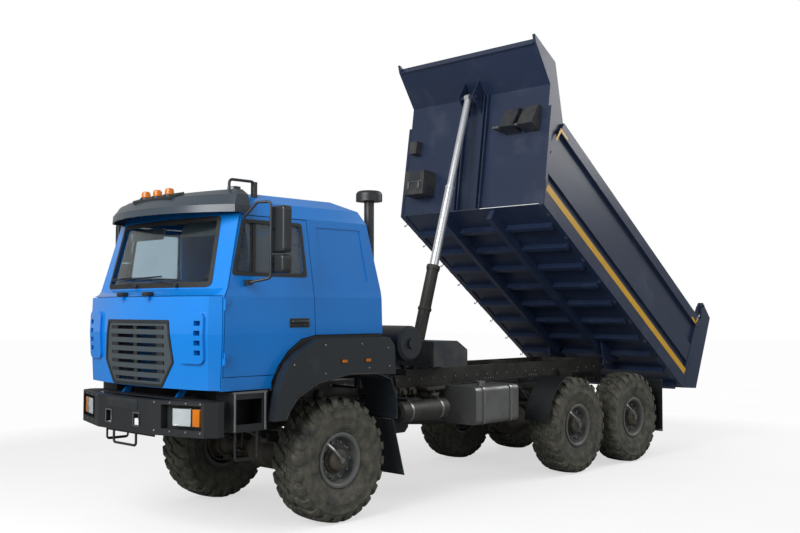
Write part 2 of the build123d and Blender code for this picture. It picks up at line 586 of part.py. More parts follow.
with BuildPart() as cylinder_tube:
    rod((0, 0, BOSS_R - 20), (0, 0, TUBE_LENGTH), TUBE_R)
    rod((0, 0, TUBE_LENGTH - 60), (0, 0, TUBE_LENGTH), TUBE_R + 8)
    rod((0, -CHEEK_IN + 6, 0), (0, CHEEK_IN - 6, 0), BOSS_R)
    rod((0, -CHEEK_IN, 0), (0, CHEEK_IN, 0), HOIST_PIN_R + RUNNING, mode=Mode.SUBTRACT)
    rod((0, 0, 150), (0, 0, TUBE_LENGTH + 1), STAGE_1_R + RUNNING, mode=Mode.SUBTRACT)
save(cylinder_tube, "cylinder_tube", HOIST_POSE)

STROKE_1 = 1070        # how far each stage slides in as the bed comes down
STROKE_2 = 1235
STAGE_1_TOP = TUBE_LENGTH + STAGE_1_OUT
STAGE_1_FOOT = 150 + STROKE_1 + 10
STAGE_2_FOOT = STAGE_1_FOOT + 40 + STROKE_2 + 10

with BuildPart() as cylinder_stage_1:
    rod((0, 0, STAGE_1_FOOT), (0, 0, STAGE_1_TOP), STAGE_1_R)
    rod((0, 0, STAGE_1_TOP - 20), (0, 0, STAGE_1_TOP), STAGE_1_R + 5)
    rod((0, 0, STAGE_1_FOOT + 40), (0, 0, STAGE_1_TOP + 1), STAGE_2_R + RUNNING, mode=Mode.SUBTRACT)
save(cylinder_stage_1, "cylinder_stage_1", HOIST_POSE)

with BuildPart() as cylinder_stage_2:
    rod((0, 0, STAGE_2_FOOT), (0, 0, HOIST_LENGTH - EYE_R + 15), STAGE_2_R)
    rod((0, -EYE_HALF, HOIST_LENGTH), (0, EYE_HALF, HOIST_LENGTH), EYE_R)
    rod((0, -EYE_HALF - 1, HOIST_LENGTH), (0, EYE_HALF + 1, HOIST_LENGTH), 30 + RUNNING, mode=Mode.SUBTRACT)
save(cylinder_stage_2, "cylinder_stage_2", HOIST_POSE)

# ---- fittings on the bed's front wall: tool box and wheel chocks
# across from, across to, up the wall from, up the wall to, depth
FITTINGS = ((-1000, -640, 220, 560, 250), (-1090, -960, 860, 1040, 120))
CHOCK_Y = (560, 860)
CHOCK_UP = 960
CHOCK = (230, 330, 200)   # across, up, out

with BuildPart() as bed_fittings:
    for y0, y1, up0, up1, depth in FITTINGS:
        with BuildSketch(wall_plane.offset(SEAT)):
            with Locations(((y0 + y1) / 2, (up0 + up1) / 2)):
                Rectangle(y1 - y0, up1 - up0)
        extrude(amount=depth)
    for y in CHOCK_Y:
        with BuildSketch(Plane(origin=wall_plane.from_local_coords((y, CHOCK_UP, SEAT)),
                               x_dir=wall_plane.z_dir,
                               z_dir=(0, -1, 0))):
            with BuildLine():
                Polyline((0, 0), (CHOCK[2], 60), (CHOCK[2] * 0.35, CHOCK[1]), (0, CHOCK[1]), close=True)
            make_face()
        extrude(amount=-CHOCK[0])
save(bed_fittings, "bed_fittings", BED_POSE)

# ================================================================ cab
# z, nose x, corner x, corner y, front of the side x, side y, rear x; x from the front axle
CAB_ROWS = (
    (1400, 1662, 1540, 1030, 1452, 1105, -668),
    (1920, 1686, 1562, 1045, 1452, 1130, -662),
    (2270, 1672, 1550, 1042, 1450, 1132, -648),
    (2345, 1535, 1430, 955, 1408, 1122, -644),
    (3050, 1352, 1272, 880, 1222, 1045, -500),
    (3180, 1262, 1190, 850, 1130, 985, -430),
    (3272, 1010, 960, 780, 900, 850, -160),
)
CAB_TOP = CAB_ROWS[-1][0]
REAR_CORNER = 60


def cab_form(inset=0):
    """The cab's outer form, drawn in by an even inset."""
    with BuildPart() as form:
        for z, nose, corner, corner_y, front, half, rear in CAB_ROWS:
            end = (X0 + corner - inset, corner_y - 0.4 * inset)
            fore = (X0 + front - 0.4 * inset, half - inset)
            aft = (X0 + rear + inset + REAR_CORNER, half - inset)
            back = (X0 + rear + inset, half - inset - REAR_CORNER)
            with BuildSketch(level(min(z, CAB_TOP - inset) if z == CAB_TOP else z)):
                with BuildLine():
                    ThreePointArc((end[0], -end[1]), (X0 + nose - inset, 0), end)
                    Polyline(end, fore, aft, back, (back[0], -back[1]), (aft[0], -aft[1]),
                             (fore[0], -fore[1]),
                             (end[0], -end[1]))
                make_face()
        loft(ruled=True)
    return form.part


ARCH = [(DOOR_REAR, CAB_SIDE_BOTTOM), (520, 1862), (690, 1745), (800, 1610), (838, DOOR_BOTTOM)]
DOOR_FRONT = [(1435, DOOR_BOTTOM), (1433, 2270), (1392, 2345), (1206, 3035)]
door_outline = [(X0 + x, z) for x, z in ARCH + DOOR_FRONT + [(DOOR_REAR + 60, 3035)]]
window_outline = [(X0 + x, z) for x, z in ((450, WINDOW_BOTTOM), (1330, WINDOW_BOTTOM), (1185, WINDOW_TOP),
                                           (480, WINDOW_TOP))]
shield_outline = [(-885, 2392), (885, 2392), (828, 3005), (-828, 3005)]
below_cab = [(X0 + x, z) for x, z in [(-900, 1380), (-900, CAB_SIDE_BOTTOM)] + ARCH + [(872, 1470),
                                                                                       (872, 1380)]]
TUNNEL_HALF = 340
PRESS_OUTLINE = [(-400, 2440), (262, 2440), (275, 2975), (-330, 2975)]
PRESS_DEPTH = 9
HINGE_AXIS = (1445, 1144)     # door hinge line, from the front axle and across
HINGE_LEVELS = (1700, 2200)
LID_AXIS = (1697, 2294)       # front lid's hinge line
LID_HINGE_Y = (-229, 229)
BULKHEAD_BACK = X0 + 1385
PILLAR_FRONT = X0 + 1453
DOOR_SWEEP_X = (BULKHEAD_BACK - 1, X0 + 1418)   # where the door's inner corner passes the bulkhead
DOOR_SWEEP_Z = (2284, 2331)

outer_form = cab_form()
inner_form = cab_form(CAB_WALL)
cab_clear = cab_form(-SEAT)


def side_prism(points, reach=1400):
    """Block with the given side-view outline through the whole width."""
    return extrude(outline(side(), points), amount=reach, both=True)


def cab_cavity():
    """The hollow of the cab: the room over the deck and, ahead of the bulkhead, under the windshield."""
    with BuildPart() as cavity:
        add(inner_form)
        slab((X0 - 900, X0 + 1900), (-1300, 1300), (1300, CAB_DECK), mode=Mode.SUBTRACT)
        slab((BULKHEAD_BACK, X0 + 1900), (-1300, 1300), (1300, 2330), mode=Mode.SUBTRACT)
    return cavity.part


def doorway(s):
    """One side's door opening with its gap, as deep as the cab's wall."""
    with BuildPart() as opening:
        extrude(offset(outline(side(s * 1300), door_outline), amount=DOOR_GAP, kind=Kind.INTERSECTION,
                       mode=Mode.PRIVATE), amount=s * 400)
        add(cab_form(CAB_WALL + DOOR_GAP), mode=Mode.SUBTRACT)
    return opening.part


def side_half(z):
    """Half-width over the cab's sides at a height between the belt line and the roof."""
    belt, eaves = CAB_ROWS[3], CAB_ROWS[4]
    return belt[5] + (eaves[5] - belt[5]) * (z - belt[0]) / (eaves[0] - belt[0])


def pressed_panel(s):
    """The shallow panel pressed into one side wall behind the door."""
    low, high = PRESS_OUTLINE[0][1] - 30, PRESS_OUTLINE[2][1] + 30
    section = [(s * (side_half(low) - PRESS_DEPTH), low), (s * 1300, low), (s * 1300, high),
               (s * (side_half(high) - PRESS_DEPTH), high)]
    with BuildPart() as panel:
        extrude(outline(across(X0 - 500), section), amount=900)
        extrude(outline(side(), [(X0 + x, z) for x, z in PRESS_OUTLINE]), amount=1400, both=True,
                mode=Mode.INTERSECT)
    return panel.part


with BuildPart() as cab_shell:
    add(outer_form)
    add(side_prism(below_cab), mode=Mode.SUBTRACT)
    slab((X0 - 800, X0 + 1100), (-TUNNEL_HALF, TUNNEL_HALF), (1300, CAB_DECK - 50), mode=Mode.SUBTRACT)
    slab((PILLAR_FRONT, X0 + 1900), (-1300, 1300), (1300, HATCH_TOP + DOOR_GAP), mode=Mode.SUBTRACT)
    add(cab_cavity(), mode=Mode.SUBTRACT)
    for s in (1, -1):
        add(pressed_panel(s), mode=Mode.SUBTRACT)
        slab((X0 + 872, BULKHEAD_BACK), sorted((s * (TUNNEL_HALF + 12), s * 1060)), (CAB_FLOOR, CAB_DECK + 5),
             mode=Mode.SUBTRACT)
        add(doorway(s), mode=Mode.SUBTRACT)
        slab(DOOR_SWEEP_X, sorted((s * 972, s * 1074)), DOOR_SWEEP_Z, mode=Mode.SUBTRACT)
        ear = [(X0 + 1390, 1402), (X0 + 1448, 1402), (X0 + CAB_HINGE[0] + 40, CAB_HINGE[1] + 30),
               (X0 + CAB_HINGE[0] + 20, CAB_HINGE[1] - 40), (X0 + CAB_HINGE[0] - 40, CAB_HINGE[1] - 30)]
        extrude(outline(side(s * (RAIL_OUTER + 50)), ear), amount=s * 30)
        rod((X0 + CAB_HINGE[0], s * RAIL_OUTER, CAB_HINGE[1]),
            (X0 + CAB_HINGE[0], s * (RAIL_OUTER + 70), CAB_HINGE[1]),
            CAB_HINGE_R + RUNNING, mode=Mode.SUBTRACT)
        for z in HINGE_LEVELS:
            rod((X0 + HINGE_AXIS[0], s * HINGE_AXIS[1], z - 60),
                (X0 + HINGE_AXIS[0], s * HINGE_AXIS[1], z - SEAT / 2), 10)
            rod((X0 + HINGE_AXIS[0], s * HINGE_AXIS[1], z - 60),
                (X0 + HINGE_AXIS[0], s * HINGE_AXIS[1], z + 50), 5)
            slab((X0 + HINGE_AXIS[0] - 1, PILLAR_FRONT), sorted((s * 1115, s * HINGE_AXIS[1])),
                 (z - 60, z - SEAT / 2))
    extrude(outline(across(X0 + 1100), shield_outline), amount=600, mode=Mode.SUBTRACT)
    for y in LID_HINGE_Y:
        slab((X0 + LID_AXIS[0] - 70, X0 + LID_AXIS[0]), (y - 30, y - SEAT),
             (HATCH_TOP + DOOR_GAP + 1, LID_AXIS[1] + 8))
        rod((X0 + LID_AXIS[0], y - 30, LID_AXIS[1]), (X0 + LID_AXIS[0], y - SEAT, LID_AXIS[1]), 14)
        rod((X0 + LID_AXIS[0], y - 30, LID_AXIS[1]), (X0 + LID_AXIS[0], y + 30, LID_AXIS[1]), 6)
save(cab_shell, "cab_shell")

# ---- doors with their glass
GLASS_T = 6
GLASS_IN = 16
glass_form_out = cab_form(GLASS_IN)
glass_form_in = cab_form(GLASS_IN + GLASS_T)

for name, s in (("left", 1), ("right", -1)):
    with BuildPart() as door:
        add(outer_form)
        add(inner_form, mode=Mode.SUBTRACT)
        extrude(outline(side(s * 1300), door_outline), amount=s * 320, mode=Mode.INTERSECT)
        extrude(outline(side(s * 1300), window_outline), amount=s * 320, mode=Mode.SUBTRACT)
        for z in HINGE_LEVELS:
            rod((X0 + HINGE_AXIS[0], s * HINGE_AXIS[1], z + SEAT / 2),
                (X0 + HINGE_AXIS[0], s * HINGE_AXIS[1], z + 50), 10)
            slab((X0 + HINGE_AXIS[0] - 45, X0 + HINGE_AXIS[0]), sorted((s * 1120, s * (HINGE_AXIS[1] + 4))),
                 (z + SEAT / 2, z + 50))
            slab((X0 + 1436, X0 + HINGE_AXIS[0]), sorted((s * 1100, s * 1134)), (z - 1, z + 51),
                 mode=Mode.SUBTRACT)
            rod((X0 + HINGE_AXIS[0], s * HINGE_AXIS[1], z - 1),
                (X0 + HINGE_AXIS[0], s * HINGE_AXIS[1], z + 51),
                5 + RUNNING, mode=Mode.SUBTRACT)
    save(door, f"door_{name}")

    with BuildPart() as glass:
        add(glass_form_out)
        add(glass_form_in, mode=Mode.SUBTRACT)
        extrude(offset(outline(side(s * 1300), window_outline), amount=-SEAT, kind=Kind.INTERSECTION,
                       mode=Mode.PRIVATE),
                amount=s * 320, mode=Mode.INTERSECT)
    save(glass, f"door_glass_{name}")

with BuildPart() as windshield:
    add(glass_form_out)
    add(glass_form_in, mode=Mode.SUBTRACT)
    extrude(offset(outline(across(X0 + 1100), shield_outline), amount=-SEAT, kind=Kind.INTERSECTION,
                   mode=Mode.PRIVATE),
            amount=600, mode=Mode.INTERSECT)
save(windshield, "windshield")

# ---- mirrors on bent arms, clamped to the doors
# low z, high z, half width, half depth
MIRROR_HEADS = ((2675, 3115, 105, 45), (2485, 2660, 100, 50))
MIRROR_X = X0 + 1000
MIRROR_Y = 1385
ARM_R = 13

for name, s in (("left", 1), ("right", -1)):
    stem = (MIRROR_X + 80, s * (MIRROR_Y - 40))
    with BuildPart() as mirror_unit:
        for low, high, half_w, half_d in MIRROR_HEADS:
            with Locations((MIRROR_X, s * MIRROR_Y, (low + high) / 2)):
                Box(2 * half_d, 2 * half_w, high - low)
        fillet(mirror_unit.edges().filter_by(Axis.X), 40)
        fillet(mirror_unit.faces().filter_by(Axis.X).sort_by(Axis.X)[-2:].edges(), 25)
        add(bent_bar([(X0 + 1185, s * 1062, 3010), (X0 + 1130, s * 1200, 3150), (stem[0], stem[1], 3150),
                      (stem[0], stem[1], 2440), (X0 + 1190, s * 1180, 2400)], ARM_R, 40))
        for low, high, half_w, half_d in MIRROR_HEADS:
            rod((stem[0], stem[1], (low + high) / 2), (MIRROR_X + half_d - 5, stem[1], (low + high) / 2),
                ARM_R)
        slab((X0 + 1165, X0 + 1215), sorted((s * 1090, s * 1190)), (2375, 2425))
        add(cab_clear, mode=Mode.SUBTRACT)
    save(mirror_unit, f"mirror_{name}")

# ---- front lid with its corner pods, and the louvred grille
GRILLE_OUTLINE = [(-440, 1412), (440, 1412), (613, 1650), (545, 2050), (-545, 2050), (-613, 1650)]
GRILLE_DEPTH = 45
LOUVRES = 7
POD_Y = (700, 1010)
POD_Z = (1650, 2130)
POD_OUT = 24
POD_SLOTS = 4


def corner_pods():
    """Raised pods at both corners of the lid, following its form."""
    with BuildPart() as pods:
        add(cab_form(-POD_OUT))
        add(cab_form(HATCH_WALL - 5), mode=Mode.SUBTRACT)
        with BuildSketch(across(X0 + 1400)):
            with Locations(*[(s * (POD_Y[0] + POD_Y[1]) / 2, (POD_Z[0] + POD_Z[1]) / 2) for s in (1, -1)]):
                RectangleRounded(POD_Y[1] - POD_Y[0], POD_Z[1] - POD_Z[0], 60)
        extrude(amount=400, mode=Mode.INTERSECT)
    return pods.part



with BuildPart() as front_hatch:
    add(outer_form)
    add(cab_form(HATCH_WALL), mode=Mode.SUBTRACT)
    slab((X0 + HATCH_BACK, X0 + 1900), (-1300, 1300), (HATCH_BOTTOM, HATCH_TOP), mode=Mode.INTERSECT)
    extrude(offset(outline(across(X0 + 1400), GRILLE_OUTLINE), amount=SEAT, kind=Kind.INTERSECTION,
                   mode=Mode.PRIVATE),
            amount=400, mode=Mode.SUBTRACT)
    add(corner_pods())
    slot_pitch = (POD_Z[1] - POD_Z[0] - 120) / POD_SLOTS
    for s in (1, -1):
        for i in range(POD_SLOTS):
            low = POD_Z[0] + 80 + slot_pitch * i
            slab((X0 + 1400, X0 + 1800), sorted((s * (POD_Y[1] - 110), s * (POD_Y[1] - 35))),
                 (low, low + slot_pitch / 2),
                 mode=Mode.SUBTRACT)
    for y in LID_HINGE_Y:
        slab((X0 + LID_AXIS[0] - 30, X0 + LID_AXIS[0]), (y + SEAT, y + 30), (HATCH_TOP - 30, LID_AXIS[1]))
        rod((X0 + LID_AXIS[0], y + SEAT, LID_AXIS[1]), (X0 + LID_AXIS[0], y + 30, LID_AXIS[1]), 14)
        rod((X0 + LID_AXIS[0], y - 1, LID_AXIS[1]), (X0 + LID_AXIS[0], y + 31, LID_AXIS[1]), 6 + RUNNING,
            mode=Mode.SUBTRACT)
save(front_hatch, "front_hatch")

with BuildPart() as grille:
    add(cab_form(4))
    add(cab_form(4 + GRILLE_DEPTH), mode=Mode.SUBTRACT)
    extrude(outline(across(X0 + 1400), GRILLE_OUTLINE), amount=400, mode=Mode.INTERSECT)
    pitch = (GRILLE_OUTLINE[3][1] - GRILLE_OUTLINE[0][1] - 60) / LOUVRES
    for i in range(LOUVRES):
        z = GRILLE_OUTLINE[0][1] + 50 + pitch * i
        reach = 400 if i == 0 else 470
        slab((X0 + 1400, X0 + 1800), (-reach, reach), (z, z + pitch * 0.42), mode=Mode.SUBTRACT)
save(grille, "grille")

# ---- sun visor over the windshield
# z, nose x, end x, end y; x from the front axle
VISOR_ROWS = ((3060, 1647, 1300, 1085), (3130, 1632, 1300, 1082), (3235, 1500, 1250, 1050),
              (3292, 1330, 1190, 960))
VISOR_BACK = 1120
VISOR_T = 12


def visor_form(inset, drop=0):
    """Hood drawn in by an inset, its lowest section lowered so that it can open a hollow downwards."""
    with BuildPart() as form:
        for i, (z, nose, end, end_y) in enumerate(VISOR_ROWS):
            with BuildSketch(level(z - inset - (drop if i == 0 else 0))):
                with BuildLine():
                    ThreePointArc((X0 + end - inset, -end_y + inset), (X0 + nose - inset, 0),
                                  (X0 + end - inset, end_y - inset))
                    Polyline((X0 + end - inset, end_y - inset),
                             (X0 + VISOR_BACK - 2 * abs(inset), end_y - inset),
                             (X0 + VISOR_BACK - 2 * abs(inset), -end_y + inset), (X0 + end - inset,
                                                                                  -end_y + inset))
                make_face()
        loft(ruled=True)
    return form.part


with BuildPart() as sun_visor:
    add(visor_form(0))
    add(visor_form(VISOR_T, 60), mode=Mode.SUBTRACT)
    add(cab_clear, mode=Mode.SUBTRACT)
save(sun_visor, "sun_visor")

# ---- amber beacons and the work lamp, the guard rail over it
BEACON_Y = (-210, 0, 210)
BEACON_X = X0 + 1440
BEACON_R = 48
BEACON_Z = 3262
RAIL_LAMP_Y = 815

with BuildPart() as roof_lamps:
    for y in BEACON_Y:
        rod((BEACON_X, y, BEACON_Z - 70), (BEACON_X, y, BEACON_Z + 45), BEACON_R)
    fillet(roof_lamps.edges().filter_by(GeomType.CIRCLE).group_by(Axis.Z)[-1], 28)
    slab((X0 + 1075, X0 + 1165), (RAIL_LAMP_Y - 60, RAIL_LAMP_Y + 60), (3200, 3330))
    add(cab_clear, mode=Mode.SUBTRACT)
    add(visor_form(-SEAT), mode=Mode.SUBTRACT)
save(roof_lamps, "roof_lamps")

with BuildPart() as roof_rail:
    add(bent_bar([(X0 + 1235, RAIL_LAMP_Y + 90, 3150), (X0 + 1235, RAIL_LAMP_Y + 90, 3385),
                  (X0 + 940, RAIL_LAMP_Y + 90, 3385),
                  (X0 + 940, RAIL_LAMP_Y + 90, 3000)], 14, 40))
    slab((X0 + 905, X0 + 975), (RAIL_LAMP_Y + 84, RAIL_LAMP_Y + 96), (3080, 3385))
    add(cab_clear, mode=Mode.SUBTRACT)
    add(visor_form(-SEAT), mode=Mode.SUBTRACT)
save(roof_rail, "roof_rail")

# ---- inside the cab
SEAT_X = X0 + 420
SEAT_Y = 560
SEAT_HALF = 240

with BuildPart() as dashboard:
    board = [(BULKHEAD_BACK - SEAT, 1990), (BULKHEAD_BACK - SEAT, 2310), (X0 + 1290, 2325), (X0 + 1130, 2240),
             (X0 + 1105, 2120), (X0 + 1180, 1990)]
    extrude(outline(side(), board), amount=1000, both=True)
    fillet(dashboard.edges().filter_by(Axis.Y).sort_by(Axis.X)[:2], 25)
save(dashboard, "dashboard")

with BuildPart() as seats:
    for s in (1, -1):
        seat_side = [(SEAT_X - 220, CAB_DECK + SEAT), (SEAT_X + 200, CAB_DECK + SEAT), (SEAT_X + 200, 2110),
                     (SEAT_X + 290, 2160), (SEAT_X + 290, 2280), (SEAT_X - 90, 2265), (SEAT_X - 200, 2900),
                     (SEAT_X - 310, 2900), (SEAT_X - 260, 2200)]
        extrude(outline(side(s * SEAT_Y), seat_side), amount=SEAT_HALF, both=True)
    fillet(seats.edges().filter_by(Axis.Y).group_by(Axis.Z)[-1], 40)
save(seats, "seats")

WHEEL_CENTRE = Vector(X0 + 970, SEAT_Y, 2400)
COLUMN_FOOT = Vector(X0 + 1230, SEAT_Y, CAB_FLOOR)
STEER_R = 230
COLUMN_R = 28

with BuildPart() as steering_wheel:
    rake = (COLUMN_FOOT - WHEEL_CENTRE).normalized()
    with Locations(Plane(origin=WHEEL_CENTRE, z_dir=rake)):
        Torus(STEER_R, 16)
        Cylinder(45, 30)
        for turn in (90, 210, 330):
            with Locations(Location((0, 0, 0), (0, 0, turn)) * Location((STEER_R / 2, 0, 0))):
                Box(STEER_R - 10, 36, 14)
    rod(WHEEL_CENTRE, COLUMN_FOOT + rake * ((COLUMN_R * rake.X + SEAT) / rake.Z), COLUMN_R)
save(steering_wheel, "steering_wheel")

# ---- raised air intake behind the cab
INTAKE_R = 55
INTAKE_X = X0 + CAB_ROWS[0][6] - INTAKE_R - SEAT
INTAKE_Y = 800

with BuildPart() as snorkel:
    rod((INTAKE_X, INTAKE_Y, CAB_SIDE_BOTTOM + 10), (INTAKE_X, INTAKE_Y, 3400), INTAKE_R)
    rod((INTAKE_X, INTAKE_Y, 3335), (INTAKE_X, INTAKE_Y, 3450), 145)
    fillet(snorkel.edges().filter_by(GeomType.CIRCLE).group_by(Axis.Z)[-1], 45)
    for z in (1990, 2500):
        slab((INTAKE_X, X0 + CAB_ROWS[0][6] + 160), (INTAKE_Y - 30, INTAKE_Y + 30), (z, z + 40))
    add(cab_clear, mode=Mode.SUBTRACT)
save(snorkel, "snorkel")

# ================================================================ bumper, lamps and steps
BUMPER_LINE = [(1450, 1150), (1510, 1150), (1620, 1080), (BUMPER_REACH, 450)]   # x and y, left half
BUMPER_Z = (990, 1310)
BUMPER_DEPTH = 95
BUMPER_T = 10
TOW_Y = 250
LAMP_BAY = (600, 1050)       # across
LAMP_BAY_Z = (1055, 1275)
LAMP_BAY_DEPTH = 70


def bumper_plan(shift):
    """Both halves of the bumper's front line, moved back and in by a shift."""
    left = [(X0 + x - shift, y - (shift if y > 1100 else 0)) for x, y in BUMPER_LINE]
    return left + [(x, -y) for x, y in reversed(left)]


SLOPE_FROM, SLOPE_TO = BUMPER_LINE[3], BUMPER_LINE[2]


def slope_x(y):
    """Bumper's front line on its sloping part."""
    return X0 + SLOPE_FROM[0] + (SLOPE_TO[0] - SLOPE_FROM[0]) * (y - SLOPE_FROM[1]) / (SLOPE_TO[1] - SLOPE_FROM[1])


def bay_plan(s, grow, front, back):
    """Plan of a lamp bay between two distances before and behind the bumper's sloping front."""
    y0, y1 = LAMP_BAY[0] - grow, LAMP_BAY[1] + grow
    return [(slope_x(y0) + front, s * y0), (slope_x(y1) + front, s * y1), (slope_x(y1) - back, s * y1),
            (slope_x(y0) - back, s * y0)]


front_line = bumper_plan(0)
with BuildPart() as bumper:
    extrude(outline(level(BUMPER_Z[0]), front_line + [(x, y) for x,
                                                      y in reversed(bumper_plan(BUMPER_DEPTH))]),
            amount=BUMPER_Z[1] - BUMPER_Z[0])
    extrude(outline(level(BUMPER_Z[0] + BUMPER_T), bumper_plan(BUMPER_T) + [(x, y) for x,
                                                                            y in reversed(bumper_plan(BUMPER_DEPTH + 40))]),
            amount=BUMPER_Z[1] - BUMPER_Z[0] - 2 * BUMPER_T, mode=Mode.SUBTRACT)
    for s in (1, -1):
        extrude(outline(level(LAMP_BAY_Z[0] - BUMPER_T),
                        bay_plan(s, BUMPER_T, -5, LAMP_BAY_DEPTH + BUMPER_T)),
                amount=LAMP_BAY_Z[1] - LAMP_BAY_Z[0] + 2 * BUMPER_T)
        extrude(outline(level(LAMP_BAY_Z[0]), bay_plan(s, 0, 60, LAMP_BAY_DEPTH)),
                amount=LAMP_BAY_Z[1] - LAMP_BAY_Z[0], mode=Mode.SUBTRACT)
        slab((X0 + 1600, X0 + 1900), sorted((s * (TOW_Y - 45), s * (TOW_Y + 45))), (1060, 1170),
             mode=Mode.SUBTRACT)
        slab((RAIL_FRONT + SEAT, X0 + BUMPER_REACH - BUMPER_T),
             sorted((s * (RAIL_OUTER - 80), s * (RAIL_OUTER - 50))),
             (BUMPER_Z[0] + 60, BUMPER_Z[0] + 200))
    add(bent_bar([(X0 + 1770, -200, BUMPER_Z[0] + 2), (X0 + 1770, -200, 860), (X0 + 1770, 200, 860),
                  (X0 + 1770, 200, BUMPER_Z[0] + 2)], 12, 30))
save(bumper, "bumper")

# ---- side step boxes with wire steps
STEP_X = (X0 + 955, X0 + 1346)
STEP_Y = (880, 1150)
STEP_Z = (1020, 1385)
STEP_MOUTH_X = (X0 + 1015, X0 + 1320)
STEP_MOUTH_Z = (1090, 1320)

with BuildPart() as step_boxes:
    slab(STEP_X, STEP_Y, STEP_Z)
    slab((STEP_X[0] + 10, STEP_X[1] - 10), (STEP_Y[0] + 10, STEP_Y[1] - 12), (STEP_Z[0] + 10, STEP_Z[1] - 10),
         mode=Mode.SUBTRACT)
    slab(STEP_MOUTH_X, (STEP_Y[1] - 20, STEP_Y[1] + 10), STEP_MOUTH_Z, mode=Mode.SUBTRACT)
    slab((STEP_X[0] + 150, STEP_X[0] + 210), (RAIL_OUTER + SEAT, STEP_Y[0] + 5), (1180, 1240))
    add(bent_bar([(X0 + 1060, STEP_Y[1] - 20, STEP_Z[0] + 2), (X0 + 1060, STEP_Y[1] - 20, 765),
                  (X0 + 1310, STEP_Y[1] - 20, 765), (X0 + 1310, STEP_Y[1] - 20, STEP_Z[0] + 2)], 11, 30))
    mirror(about=Plane.XZ)
save(step_boxes, "step_boxes")

# ---- front fenders: outer skirt, arched liner and rear flap
FENDER_Y = (1140, 1245)
LINER_REAR = [(-620, 1420), (-695, 1250), (-714, 1040)]
LINER_IN = 770
FENDER_T = 12
FENDER_TOP = [(-690, 1470), (-675, 1770), (-600, 1860), (400, 1862), (630, 1740), (750, 1645), (835, 1510),
              (905, 1300), (945, 1100)]
FENDER_ARCH = [(800, 1100), (760, 1180), (660, 1300), (400, 1425), (0, 1495), (-420, 1485)]

with BuildPart() as front_fenders:
    top = [(X0 + x, z) for x, z in FENDER_TOP]
    arch = [(X0 + x, z) for x, z in FENDER_ARCH]
    extrude(outline(side(FENDER_Y[1]), top + arch), amount=FENDER_T)
    extrude(strip(side(FENDER_Y[1]), top, FENDER_T, Side.RIGHT), amount=FENDER_Y[1] - FENDER_Y[0])
    liner = [(X0 + x, z) for x, z in FENDER_ARCH + LINER_REAR]
    extrude(strip(side(FENDER_Y[1] - FENDER_T / 2), liner, FENDER_T, Side.RIGHT),
            amount=FENDER_Y[1] - FENDER_T / 2 - LINER_IN)
    flap = [(X0 - 708, 1020), (X0 - 720, 1020), (X0 - 905, 380), (X0 - 893, 380)]
    extrude(outline(side(1170), flap), amount=1170 - LINER_IN)
    slab((X0 - 730, X0 - 700), (LINER_IN, FENDER_Y[1] - FENDER_T), (1000, 1060))
    for x, top in ((X0 + 560, 1352), (X0 - 560, 1444)):
        slab((x - 25, x + 25), (RAIL_OUTER + SEAT, LINER_IN + 40), (1300, 1330))
        slab((x - 25, x + 25), (LINER_IN, LINER_IN + 40), (1300, top))
    mirror(about=Plane.XZ)
save(front_fenders, "front_fenders")

# ---- quarter fenders before the bogie and mud flaps behind it
with BuildPart() as rear_fenders:
    with BuildSketch(side(1160)):
        with Locations((MID_X, AXLE_Z)):
            Circle(TYRE_R + 90)
            Circle(TYRE_R + 80, mode=Mode.SUBTRACT)
        with Locations((MID_X - 1000 + 300, AXLE_Z)):
            Rectangle(2000, 2000, mode=Mode.SUBTRACT)
        with Locations((MID_X, AXLE_Z - 1000 + 100)):
            Rectangle(2000, 2000, mode=Mode.SUBTRACT)
    extrude(amount=1160 - 790)
    slab((MID_X + 330, MID_X + 380), (RAIL_OUTER + SEAT, 800), (RAIL_BOTTOM + 90, RAIL_BOTTOM + 130))
    slab((MID_X + 330, MID_X + 380), (790, 830), (RAIL_BOTTOM + 90, 1240))
    slab((REAR_X - 730, REAR_X - 718), (760, 1190), (370, 1130))
    slab((REAR_X - 735, REAR_X - 700), (700, 1190), (1090, 1140))
    slab((REAR_X - 735, HINGE_X + 200), (RAIL_OUTER + SEAT, RAIL_OUTER + 45), (1105, 1155))
    slab((REAR_X - 735, REAR_X - 700), (RAIL_OUTER + SEAT, 720), (1105, 1140))
    mirror(about=Plane.XZ)
save(rear_fenders, "rear_fenders")

# ---- tanks, silencer, air filter and hydraulic tank
FUEL_X = (X0 - 3020, X0 - 2200)
FUEL_Y = (600, 1100)
FUEL_Z = (790, 1240)
AIR_R = 115
SILENCER_R = 190

with BuildPart() as fuel_tanks:
    slab(FUEL_X, FUEL_Y, FUEL_Z)
    fillet(fuel_tanks.edges().filter_by(Axis.X), 60)
    for x in (FUEL_X[0] + 150, FUEL_X[1] - 150):
        slab((x - 25, x + 25), (RAIL_OUTER + SEAT, FUEL_Y[0] + 5), (FUEL_Z[1] - 160, FUEL_Z[1] - 90))
    rod((FUEL_X[1] - 200, FUEL_Y[1] - 90, FUEL_Z[1] - 5), (FUEL_X[1] - 200, FUEL_Y[1] - 90, FUEL_Z[1] + 40),
        45)
    mirror(about=Plane.XZ)
save(fuel_tanks, "fuel_tanks")

with BuildPart() as air_tanks:
    for y in (620, 870):
        rod((X0 - 1900, y, 1010), (X0 - 1080, y, 1010), AIR_R)
    chamfer(air_tanks.edges().filter_by(GeomType.CIRCLE), 30)
    for x in (X0 - 1750, X0 - 1250):
        slab((x - 20, x + 20), (RAIL_OUTER + SEAT, 900), (1110, 1150))
        slab((x - 20, x + 20), (600, 640), (1100, 1150))
        slab((x - 20, x + 20), (850, 890), (1100, 1150))
save(air_tanks, "air_tanks")

